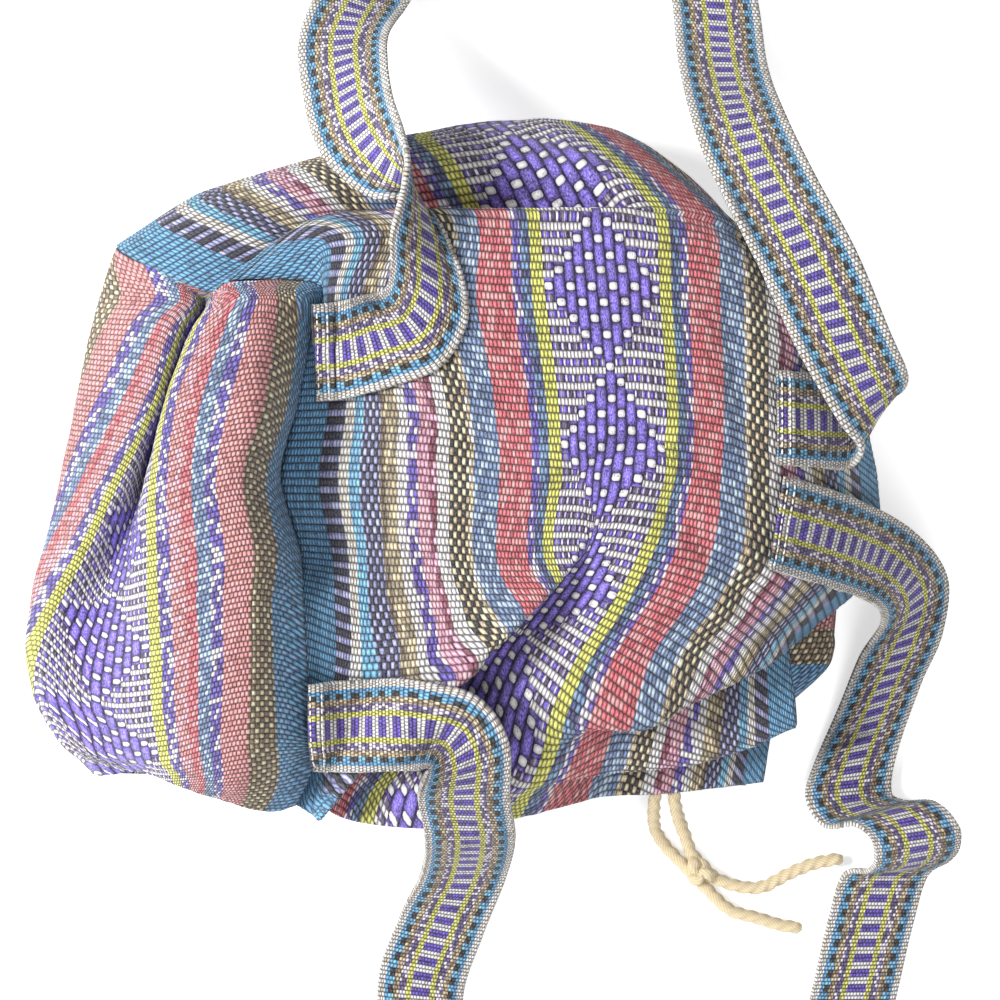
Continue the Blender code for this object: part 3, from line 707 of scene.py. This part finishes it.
def crease_depth(x, y):
    """How far the front is pressed in at a place on the table, by the creases near it."""
    depth = 0.0
    for (x0, y0), (x1, y1), deep, wide in FRONT_CREASES:
        along = ((x - x0) * (x1 - x0) + (y - y0) * (y1 - y0)) / ((x1 - x0) ** 2 + (y1 - y0) ** 2)
        share = min(max(along, 0.0), 1.0)
        off = math.hypot(x - x0 - (x1 - x0) * share, y - y0 - (y1 - y0) * share) / wide
        depth += deep * (math.exp(-off ** 2) - 0.6 * math.exp(-(off - 1.8) ** 2))
    return depth


def woven_sheet(table, row_positions, column_positions, rib, facing, wrinkle, creased=False):
    """Fine surface of a cloth through a cage of x, y, z, u and v, with its ribs and small wrinkles."""
    fine = smooth_sheet(table, row_positions, column_positions)
    points = fine[:, :, :3].copy()
    places = fine[:, :, 3:]
    normals = surface_normals(points) * facing
    for row in range(points.shape[0]):
        for column in range(points.shape[1]):
            x, y, z = points[row, column]
            spot = Vector((x, y, z)) * WRINKLES_PER_METRE
            soft = noise.noise(spot) + 0.5 * noise.noise(spot * 2.3)
            pressed = crease_depth(x / MM, y / MM) * MM if creased else 0.0
            points[row, column] += normals[row, column] * (wrinkle * soft - pressed)
    ribs = np.abs(np.sin(math.pi * places[:, :, 1] / rib)) ** 0.7 - 0.6
    points += normals * (ribs * RIB_RELIEF)[:, :, None]
    points[:, :, 2] = np.maximum(points[:, :, 2], CLOTH_THICKNESS / 2)
    return points, places


def add_cloth(name, points, places, material, thickness, facing):
    mesh = grid_mesh(name, points, places)
    if facing < 0:
        mesh.flip_normals()
    piece = add_piece(name, mesh, material)
    solidify = piece.modifiers.new("Cloth thickness", "SOLIDIFY")
    solidify.thickness = thickness
    solidify.offset = 0.0
    return piece


main_cloth = striped_cloth("Striped body cloth", MAIN_STRIPES, span=128.0, rib=RIB)
cage = main_cage()
main_table = np.concatenate([cage, loom_places(cage)], axis=2)
fold_row = len(FRONT_CAGE) - 1
back_row = fold_row + len(BASE_CAGE) + 1

main_columns = even_steps(main_table, COLUMN_STEP, along_rows=False)


def add_body_cloth(name, rows, columns, wrinkle, creased=False):
    """One stretch of the main cloth, its points, and how long it is along its stripes."""
    points, places = woven_sheet(main_table, rows, columns, RIB, 1, wrinkle, creased)
    piece = add_cloth(name, points, places, main_cloth, CLOTH_THICKNESS, 1)
    return piece, points, float(np.abs(places[0, :, 1] - places[-1, :, 1]).mean())


front_rows = even_steps(main_table[:fold_row + 1], 0.8 * MM)
front, front_points, front_length = add_body_cloth(
    "front_cloth", front_rows, main_columns, wrinkle=0.9 * MM, creased=True)
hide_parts("main_panel")

base_rows = fold_row + even_steps(main_table[fold_row:back_row + 1], 0.95 * MM)
base, base_points, base_length = add_body_cloth("base_cloth", base_rows, main_columns, wrinkle=0.6 * MM)

back_rows = back_row + even_steps(main_table[back_row:], 3.0 * MM)
back, _, back_length = add_body_cloth("back_cloth", back_rows, main_columns[::2], wrinkle=0.0)


# Gussets
# A finer striped cotton cloth closes each side. The left one is flared out in a hump with a valley fold
# beside it, and the right one is folded in under the front. Both are seamed to the main cloth's edges.

GUSSET_RIB = 1.95 * MM

# Points of the left gusset between its two seams, in millimetres: rows from below the base down to the
# mouth, each from the front's seam to the back's
LEFT_GUSSET_CAGE = [
    [(-74, 73, 70), (-90, 71, 74), (-102, 69, 66), (-107, 69, 54),
     (-113, 72, 58), (-147, 76, 36), (-141, 76, 13)],
    [(-75, 62, 70), (-88, 62, 78), (-107, 60, 69), (-112, 59, 54),
     (-119, 61, 62), (-151, 64, 34), (-145, 62, 12)],
    [(-79, 35, 70), (-88, 35, 83), (-116, 35, 68), (-121, 35, 47),
     (-126, 35, 60), (-158, 36, 30), (-150, 35, 9)],
    [(-84, 8, 71), (-93, 8, 85), (-122, 8, 69), (-130, 8, 43),
     (-138, 8, 53), (-164, 8, 28), (-156, 8, 8)],
    [(-78, -18, 71), (-89, -18, 86), (-123, -18, 70), (-139, -18, 39),
     (-152, -18, 46), (-171, -18, 26), (-163, -18, 8)],
    [(-78, -36, 76), (-90, -36, 86), (-122, -36, 71), (-144, -36, 38),
     (-163, -36, 41), (-176, -36, 24), (-168, -36, 8)],
    [(-78, -54, 74), (-90, -54, 85), (-121, -54, 71), (-147, -54, 39),
     (-170, -54, 36), (-179, -54, 19), (-170, -54, 7)],
    [(-77, -72, 71), (-91, -72, 83), (-121, -72, 69), (-149, -72, 42),
     (-169, -72, 33), (-177, -72, 18), (-169, -72, 7)],
    [(-77, -84, 67), (-92, -84, 80), (-120, -84, 66), (-146, -84, 40),
     (-165, -84, 31), (-172, -84, 17), (-166, -84, 7)],
    [(-77, -94, 58), (-93, -93, 76), (-119, -94, 62), (-143, -94, 37),
     (-160, -93, 28), (-167, -92, 16), (-163, -92, 7)],
    [(-80, -104, 52), (-95, -101, 69), (-118, -98, 57), (-138, -98, 34),
     (-153, -98, 26), (-161, -98, 15), (-160, -97, 7)],
    [(-85, -114, 44), (-99, -108, 57), (-118, -103, 50), (-134, -101, 32),
     (-148, -103, 25), (-155, -104, 15), (-157, -104, 7)],
]

# Where each column of the left gusset's first row meets the base's left edge, in rows of the base's cage
LEFT_GUSSET_TOP = [0.0, 0.35, 0.7, 0.97, 1.03, 2.0, 3.0, 4.0, 5.0]

# Folds of the right gusset, in millimetres: how far in from its outer side each column lies and how
# high. Each row has its own share of that height and its own outer side.
RIGHT_GUSSET_FOLDS = [(30, 27), (66, 22), (40, 13), (3, 8), (24, 3)]
RIGHT_GUSSET_RISE = [0.5, 0.65, 0.75, 0.85, 0.85, 0.85, 0.85, 0.85, 0.75, 0.6, 0.5, 0.45, 0.4]
RIGHT_GUSSET_OUTER_X = [120, 125, 130, 134, 136, 136, 134, 133, 132, 130, 113, 104, 98]

# Where each column of a gusset lies across its stripes, in millimetres from its middle. On the left
# one it changes from row to row, because the brocade opens out of the valley fold on its way down.
LEFT_GUSSET_U = [
    [-37, -33.5, -30, -27, 31, 41.5, 54, 63, 69],
    [-69, -61, -39, -28, -2, 35, 61, 67, 69],
    [-69, -59.5, -45, -24.5, 0, 32, 60, 67, 69],
    [-69, -58.7, -50, -26, -5, 27, 54, 65, 69],
    [-69, -62, -50.5, -22.5, 0, 22, 49, 62, 69],
    [-69, -64, -51, -21.5, 4, 22, 41, 58, 69],
    [-69, -65, -51, -22, 3, 22, 34, 52, 69],
    [-69, -65, -51, -22, 1, 20, 28, 46, 69],
    [-69, -65, -51, -22, 1, 17, 24, 45, 69],
    [-69, -65, -51, -22, 1, 16, 22, 42, 69],
    [-69, -65, -50, -22, 0, 14, 20, 38, 69],
    [-69, -64, -49, -21, -2, 11, 17, 36, 69],
    [-69, -64, -48, -20, -3, 9, 15, 34, 69],
]

# The right gusset is twisted where it's folded in, so that its stripes run from side to side: how far
# across them each row of its cage lies
RIGHT_GUSSET_U = [-69, -58, -40, -20, 0, 20, 34, 45, 54, 63, 68, 69, 69]

# How far the first rows of the left gusset lie below the seam at its top, for the columns beside the
# corner, where the cage itself runs along that seam
LEFT_GUSSET_DROP = [0, 19, 22]

MAUVE = linear(188, 118, 122)
GUSSET_STRIPES = [
    (BROCADE_HALF_WIDTH, LILAC_WHITE, PURPLE, PLAIN),
    (24.3, YELLOW, OLIVE, HEATHER),
    (28.8, VIOLET, LILAC, SPECKLE),
    (33.6, SALMON, PINK, HEATHER),
    (37.3, RED_PINK, SALMON, HEATHER),
    (41.8, SLATE, PALE_SLATE, HEATHER),
    (45.8, VIOLET, LILAC, SPECKLE),
    (54.5, SALMON, MAUVE, HEATHER),
    (62.5, BROWN, TAN, CHECK),
    (80.0, SKY_BLUE, SLATE, HEATHER),
]


def left_gusset_table():
    front_rows = len(FRONT_CAGE)
    step_out = np.array((-SEAM_STEP, 0, 0))
    step_down = np.array((0, -SEAM_STEP, 0))
    base_edge = front_rows - 1 + np.array(LEFT_GUSSET_TOP)
    top = smooth_sheet(cage, base_edge, np.array([0.0]))[:, 0] + step_down
    top[0] += step_out
    top[-1] += step_out
    back_edge = front_rows + len(BASE_CAGE) + np.linspace(0, BACK_ROWS, front_rows)
    back_seam = smooth_sheet(cage, back_edge, np.array([0.0]))[:, 0] + step_out
    rows = [top]
    for index, inner in enumerate(LEFT_GUSSET_CAGE, start=1):
        front_seam = cage[front_rows - 1 - index, 0] + step_out
        if index == 1:
            front_seam = front_seam + step_down
        rows.append(np.vstack([front_seam, np.array(inner, float) * MM, back_seam[index]]))
    return np.array(rows)


def right_gusset_table():
    front_rows = len(FRONT_CAGE)
    last = cage.shape[1] - 1
    step_out = np.array((SEAM_STEP, 0, 0))
    step_under = np.array((0.5 * SEAM_STEP, 0, -1.3 * SEAM_STEP))
    back_edge = front_rows + len(BASE_CAGE) + np.linspace(0, BACK_ROWS, front_rows)
    back_seam = smooth_sheet(cage, back_edge, np.array([float(last)]))[:, 0] + step_out
    even_y = np.linspace(cage[front_rows - 1, last, 1], cage[0, last, 1], front_rows)
    rows = []
    for index in range(front_rows):
        front_seam = cage[front_rows - 1 - index, last] + step_under
        inner = []
        for column, (inward, height) in enumerate(RIGHT_GUSSET_FOLDS, start=1):
            share = column / (len(RIGHT_GUSSET_FOLDS) + 1)
            x = (RIGHT_GUSSET_OUTER_X[index] - inward) * MM
            y = even_y[index] + (back_seam[index][1] - even_y[index]) * share
            inner.append((x, y, height * RIGHT_GUSSET_RISE[index] * MM))
        rows.append(np.vstack([front_seam, inner, back_seam[index]]))
    return np.array(rows)


def with_left_places(table):
    """The left gusset's cage with its u, and with v as the true length down each column."""
    runs = np.linalg.norm(np.diff(table, axis=0), axis=2)
    runs[0, :len(LEFT_GUSSET_DROP)] = np.array(LEFT_GUSSET_DROP) * MM
    v = np.vstack([np.zeros(table.shape[1]), np.cumsum(runs, axis=0)])
    u = np.array(LEFT_GUSSET_U, float) * MM
    return np.concatenate([table, u[:, :, None], v[:, :, None]], axis=2)


def with_right_places(table):
    """The right gusset's cage with its u, and with v as the true length along each row."""
    runs = np.linalg.norm(np.diff(table, axis=1), axis=2)
    v = np.hstack([np.zeros((table.shape[0], 1)), np.cumsum(runs, axis=1)])
    u = np.array(RIGHT_GUSSET_U, float)[:, None] * MM + np.zeros_like(v)
    return np.concatenate([table, u[:, :, None], v[:, :, None]], axis=2)


gusset_cloth = striped_cloth("Striped gusset cloth", GUSSET_STRIPES, span=82.0, rib=GUSSET_RIB)


def add_gusset(name, node, whole, facing, step):
    rows = even_steps(whole, step)
    columns = even_steps(whole, COLUMN_STEP, along_rows=False)
    points, places = woven_sheet(whole, rows, columns, GUSSET_RIB, facing, wrinkle=0.7 * MM)
    piece = add_cloth(name, points, places, gusset_cloth, CLOTH_THICKNESS, facing)
    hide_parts(node)
    return points


left_points = add_gusset(
    "left_gusset_cloth", "left_gusset", with_left_places(left_gusset_table()), facing=1, step=0.55 * MM)
right_points = add_gusset(
    "right_gusset_cloth", "right_gusset", with_right_places(right_gusset_table()), facing=-1, step=1.1 * MM)


# Straps
# Two flat woven cotton bands 33 mm wide, with thick cream selvedges. Each end is turned under and sewn
# down on the bag with two rows of white thread. The upper strap leaves past the base and the lower one
# past the mouth.

STRAP_WIDTH = 33.0 * MM
STRAP_THICKNESS = 1.8 * MM
STRAP_RIB = 1.5 * MM
STRAP_LIFT = 0.3 * MM
STRAP_HEM = 7.0 * MM
STRAP_RELIEF = 0.25 * MM
SELVEDGE_RELIEF = 0.6 * MM
SELVEDGE_START = 0.8
STRAP_STEP = 0.5 * MM
STRAP_COLUMNS = 25
STITCH_LENGTH = 1.9 * MM
STITCH_PITCH = 2.6 * MM
STITCH_SIZE = (1.0 * MM, 0.35 * MM, 0.35 * MM)

# Stations along each strap, in millimetres: the middle of the band, and the way that its width points
UPPER_STRAP = [
    ((-66, 52, 60), (0, 1, 0)), ((-55, 53, 63), (-0.05, 1, 0)), ((-44, 56, 68), (-0.3, 0.95, 0)),
    ((-31, 60, 75), (-0.6, 0.8, 0)), ((-25, 71, 80), (-0.78, 0.58, 0.25)),
    ((-25, 83, 83), (-0.74, 0.45, 0.5)), ((-26, 94, 84), (-0.5, 0.3, 0.8)),
    ((-28, 103, 84), (-0.25, 0.2, 0.95)), ((-32, 110, 83), (0.07, 0.3, 0.95)),
    ((-38, 115, 82), (0.35, 0.5, 0.78)), ((-45, 123, 78), (0.64, 0.5, 0.56)),
    ((-51, 134, 71), (0.8, 0.5, 0.28)), ((-55, 150, 59), (0.87, 0.4, 0.1)),
    ((-57, 171, 42), (0.98, 0, 0.1)), ((-50, 194, 20), (0.86, -0.5, 0.1)),
    ((-40, 216, 7), (0.86, -0.5, 0)), ((-31, 242, 2), (0.8, -0.6, 0)), ((-7, 260, 2), (0.45, -0.9, 0)),
    ((22, 267, 2), (0, -1, 0)), ((55, 256, 2), (-0.5, -0.85, 0)), ((77, 228, 2), (-0.9, -0.4, 0)),
    ((83, 192, 6), (-1, 0.05, 0)), ((84, 162, 26), (-1, 0.02, 0)), ((88, 134, 52), (-1, -0.2, 0)),
    ((97, 108, 66), (-1, -0.35, 0)), ((109, 82, 74), (-0.95, -0.35, 0)),
    ((120, 56, 76), (-0.95, -0.25, 0.1)), ((131, 36, 72), (-0.8, -0.5, 0.35)),
    ((134, 29, 64), (-0.5, -0.7, 0.6)), ((126, 28, 60), (-0.1, -1, 0.1)), ((113, 28, 66), (0, -1, 0)),
    ((97, 29, 70), (0, -1, 0)),
]
LOWER_STRAP = [
    ((-68, -82, 48), (0, 1, 0)), ((-50, -81, 56), (0, 1, 0)), ((-32, -80, 64), (0, 1, 0)),
    ((-17, -82, 72), (0.5, 0.8, 0.3)), ((-12, -92, 70), (0.9, 0.4, 0.2)), ((-13, -108, 56), (1, 0, 0)),
    ((-11, -126, 38), (1, 0, 0)), ((-14, -144, 14), (1, 0, 0)), ((-23, -166, 3), (1, -0.2, 0)),
    ((-31, -192, 2), (1, -0.1, 0)), ((-26, -226, 2), (0.9, 0.4, 0)), ((4, -258, 2), (0.6, 0.8, 0)),
    ((50, -272, 2), (0, 1, 0)), ((98, -260, 2), (-0.6, 0.8, 0)), ((128, -230, 2), (-0.9, 0.4, 0)),
    ((137, -194, 3), (-1, 0, 0)), ((143, -168, 3), (-1, 0, 0)), ((149, -146, 5), (-1, 0, 0)),
    ((156, -140, 14), (-1, -0.15, 0)), ((158, -134, 22), (-1, -0.2, 0)),
    ((156, -125, 27), (-1, -0.15, 0)), ((149, -118, 24), (-1, -0.25, 0)),
    ((140, -120, 12), (-1, -0.3, 0)), ((135, -114, 5), (-1, -0.1, 0)), ((138, -100, 4), (-1, -0.2, 0)),
    ((147, -76, 6), (-1, -0.3, 0)), ((154, -56, 12), (-1, -0.3, 0)), ((157, -38, 22), (-0.9, -0.6, 0.3)),
    ((146, -25, 38), (-0.5, -0.8, 0.3)), ((125, -16, 54), (-0.3, -1, 0)), ((97, -8, 70), (-0.15, -1, 0)),
]

# Half of the band from its middle outwards, as on the cloth, with purple blocks down the middle
STRAP_YARN_PITCH = 1.25
BLOCK_HALF_WIDTH = 3.6
STRAP_VIOLET = linear(96, 80, 132)
STRAP_STRIPES = [
    (BLOCK_HALF_WIDTH, LILAC_WHITE, PURPLE, PLAIN),
    (5.6, YELLOW, OLIVE, HEATHER),
    (8.3, STRAP_VIOLET, LILAC, SPECKLE),
    (10.5, TAN, BROWN, SPECKLE),
    (12.5, SKY_BLUE, BLACK, BARS),
    (13.8, SKY_BLUE, DEEP_SKY, HEATHER),
    (19.0, CREAM, WHITE, HEATHER),
]


def strap_material():
    graph = Graph("Woven strap", roughness=0.9, sheen=0.2)
    u, v = graph.cloth_place()
    rib = STRAP_RIB / MM
    from_middle = graph.math("ABSOLUTE", u)
    row, in_row = graph.cells(v, rib)
    yarn, in_yarn = graph.cells(u, STRAP_YARN_PITCH, graph.times(graph.odd(row), 0.5))
    luck = graph.chance(yarn, row)

    # Dark dashes and purple blocks take two ribs of every four
    first_yarn, second_yarn, mixing = stripe_yarns(graph, from_middle, STRAP_STRIPES, span=20.0)
    in_pair = graph.under(graph.math("FLOORED_MODULO", row, 4.0), 1.5)
    dashes = graph.times(graph.within(mixing, 0.5, 0.7), in_pair)
    speck = graph.times(graph.over(luck, 0.6), graph.over(mixing, 0.1))
    not_dashed = graph.plus(graph.under(mixing, 0.5), graph.over(mixing, 0.7))
    second = graph.math("MAXIMUM", dashes, graph.times(speck, not_dashed))
    colour = graph.blend(second, first_yarn, second_yarn)
    block = graph.times(in_pair, graph.under(from_middle, BLOCK_HALF_WIDTH))
    colour = graph.blend(block, colour, PURPLE)

    relief = float_relief(graph, in_row, in_yarn, 2.6, 2.2, low=0.2)
    tone, sharp = spun_tone(graph, u, v, luck)
    return woven_finish(graph, colour, tone, sharp, relief, 0.5 * MM)


class HeightMap:
    """Highest point of the cloth over each small square of the table, for laying straps on it."""

    CELL = 3.0 * MM
    REACH = 360.0 * MM

    def __init__(self, surfaces):
        size = int(2 * self.REACH / self.CELL)
        self.heights = np.zeros((size, size))
        for points in surfaces:
            flat = points.reshape(-1, 3)
            cells = ((flat[:, :2] + self.REACH) / self.CELL).astype(int)
            np.maximum.at(self.heights, (cells[:, 0], cells[:, 1]), flat[:, 2])

    def top(self, x, y):
        i, j = int((x + self.REACH) / self.CELL), int((y + self.REACH) / self.CELL)
        return self.heights[i - 1:i + 2, j - 1:j + 2].max()


def band_surface(stations, ground):
    """Fine surface of a band along its stations, lifted where it would sink into what it lies on."""
    centres = np.array([centre for centre, _ in stations], float) * MM
    widths = np.array([width for _, width in stations], float)
    widths *= STRAP_WIDTH / 2 / np.linalg.norm(widths, axis=1, keepdims=True)
    table = np.stack([centres - widths, centres + widths], axis=1)
    lines = smooth_sheet(table, even_steps(table, STRAP_STEP), np.array([0.0, 1.0]))
    shares = 0.5 - 0.5 * np.cos(np.linspace(0, math.pi, STRAP_COLUMNS)) ** 3
    shares = (shares + np.linspace(0, 1, STRAP_COLUMNS)) / 2
    points = lines[:, :1] * (1 - shares)[None, :, None] + lines[:, 1:] * shares[None, :, None]
    rest = STRAP_THICKNESS / 2 + STRAP_LIFT
    lift = np.zeros(points.shape[:2])
    for row in range(points.shape[0]):
        for column in range(points.shape[1]):
            x, y, z = points[row, column]
            below = ground.top(x, y)
            lowest = below + rest + CLOTH_THICKNESS / 2 if below > 0 else STRAP_THICKNESS / 2
            lift[row, column] = max(0.0, lowest - z)
    reach = 8
    for even_out in (np.max, np.mean):
        padded = np.pad(lift, ((reach, reach), (0, 0)), mode="edge")
        lift = even_out([padded[k:k + len(points)] for k in range(2 * reach + 1)], axis=0)
    points[:, :, 2] += lift
    folded = int(STRAP_HEM / STRAP_STEP)
    points[:folded, :, 2] += 0.8 * STRAP_THICKNESS
    points[-folded:, :, 2] += 0.8 * STRAP_THICKNESS
    middle = points[:, STRAP_COLUMNS // 2]
    run = np.concatenate([[0.0], np.cumsum(np.linalg.norm(np.diff(middle, axis=0), axis=1))])
    u = np.broadcast_to((shares - 0.5) * STRAP_WIDTH, points.shape[:2])
    v = np.broadcast_to(run[:, None], points.shape[:2])
    normals = surface_normals(points)
    ribs = np.abs(np.sin(math.pi * v / STRAP_RIB)) ** 0.7 - 0.6
    edge = np.abs(shares - 0.5) * 2
    past_start = (edge - SELVEDGE_START) / 0.22
    selvedge = np.where(past_start > 0.0, np.sin(math.pi * past_start), 0.0)[None, :]
    relief = ribs * STRAP_RELIEF + selvedge * SELVEDGE_RELIEF
    return points + normals * relief[:, :, None], np.stack([u, v], axis=2)


def thread_material():
    """White sewing thread."""
    graph = Graph("Sewing thread", roughness=0.7, sheen=0.1)
    graph.put(graph.shader.inputs["Base Color"], WHITE)
    return graph.material


def add_stitches(name, points, rows):
    """Rows of thread stitches across a band, sunk half way into its upper face."""
    thread = bmesh.new()
    normals = surface_normals(points)
    size = Matrix.Diagonal((*STITCH_SIZE, 1.0))
    for row in rows:
        upward = normals[row] * np.sign(normals[row][:, 2:])
        line = points[row] + upward * (STRAP_THICKNESS / 2 + 0.1 * MM)
        reach = np.concatenate([[0.0], np.cumsum(np.linalg.norm(np.diff(line, axis=0), axis=1))])
        for start in np.arange(1.5 * MM, reach[-1] - 3.0 * MM, STITCH_PITCH):
            ends = [Vector([np.interp(start + step, reach, line[:, axis]) for axis in range(3)])
                    for step in (0.0, STITCH_LENGTH)]
            turn = (ends[1] - ends[0]).to_track_quat("X", "Z").to_matrix().to_4x4()
            place = Matrix.Translation((ends[0] + ends[1]) / 2) @ turn @ size
            bmesh.ops.create_uvsphere(thread, u_segments=8, v_segments=6, radius=1.0, matrix=place)
    mesh = bpy.data.meshes.new(name)
    thread.to_mesh(mesh)
    thread.free()
    add_piece(name, mesh, thread_cotton)


thread_cotton = thread_material()
strap_cloth = strap_material()
ground = HeightMap([front_points, base_points, left_points, right_points])
for strap_name, node, stations in (("upper_strap_band", "upper_strap", UPPER_STRAP),
                                   ("lower_strap_band", "lower_strap", LOWER_STRAP)):
    band, band_places = band_surface(stations, ground)
    strap = add_cloth(strap_name, band, band_places, strap_cloth, STRAP_THICKNESS, 1)
    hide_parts(node)
    hem_row = int((STRAP_HEM - 2.0 * MM) / STRAP_STEP)
    add_stitches(strap_name + "_stitches", band, (3, hem_row, -hem_row, -4))


# Table, light and camera
# A white table under even, soft light, seen from straight above.

CAMERA_HEIGHT = 750.0 * MM
LENS = 69.3

floor_mesh = bpy.data.meshes.new("Table")
table_top = bmesh.new()
bmesh.ops.create_grid(table_top, x_segments=1, y_segments=1, size=3.0)
table_top.to_mesh(floor_mesh)
table_top.free()
table_white = bpy.data.materials.new("White table")
table_white.use_nodes = True
table_nodes = table_white.node_tree.nodes
table_links = table_white.node_tree.links
table_shader = table_nodes["Principled BSDF"]
table_shader.inputs["Base Color"].default_value = (0.9, 0.9, 0.9, 1.0)
table_shader.inputs["Roughness"].default_value = 0.9

# The table shows brighter to the camera than it lights the bag, so that it's white but keeps a shadow
glow = table_nodes.new("ShaderNodeEmission")
glow.inputs["Color"].default_value = (1.0, 1.0, 1.0, 1.0)
glow.inputs["Strength"].default_value = 0.55
seen = table_nodes.new("ShaderNodeLightPath")
only_seen = table_nodes.new("ShaderNodeMixShader")
sum_shader = table_nodes.new("ShaderNodeAddShader")
table_links.new(table_shader.outputs[0], sum_shader.inputs[0])
table_links.new(glow.outputs[0], sum_shader.inputs[1])
table_links.new(seen.outputs["Is Camera Ray"], only_seen.inputs[0])
table_links.new(table_shader.outputs[0], only_seen.inputs[1])
table_links.new(sum_shader.outputs[0], only_seen.inputs[2])
table_links.new(only_seen.outputs[0], table_nodes["Material Output"].inputs["Surface"])
floor_mesh.materials.append(table_white)
floor = bpy.data.objects.new("Table", floor_mesh)
bpy.context.scene.collection.objects.link(floor)

world = bpy.context.scene.world or bpy.data.worlds.new("World")
bpy.context.scene.world = world
world.use_nodes = True
background = world.node_tree.nodes["Background"]
background.inputs["Color"].default_value = (1.0, 1.0, 1.0, 1.0)
background.inputs["Strength"].default_value = 0.42


def add_light(name, place, target, size, power):
    data = bpy.data.lights.new(name, "AREA")
    data.shape = "DISK"
    data.size = size
    data.energy = power
    light = bpy.data.objects.new(name, data)
    light.location = place
    light.rotation_euler = (Vector(target) - Vector(place)).to_track_quat("-Z", "Y").to_euler()
    bpy.context.scene.collection.objects.link(light)


add_light("Window light", (-1.05, 0.15, 0.95), (0, 0, 0), 0.45, 24.0)
add_light("Room light", (0.3, -0.95, 1.3), (0, 0, 0), 0.9, 10.0)

camera_data = bpy.data.cameras.new("Camera")
camera_data.lens = LENS
camera_data.sensor_width = 36.0
camera = bpy.data.objects.new("Camera", camera_data)
camera.location = (0.0, 0.0, CAMERA_HEIGHT)
bpy.context.scene.collection.objects.link(camera)
bpy.context.scene.camera = camera
bpy.context.scene.view_settings.view_transform = "Standard"
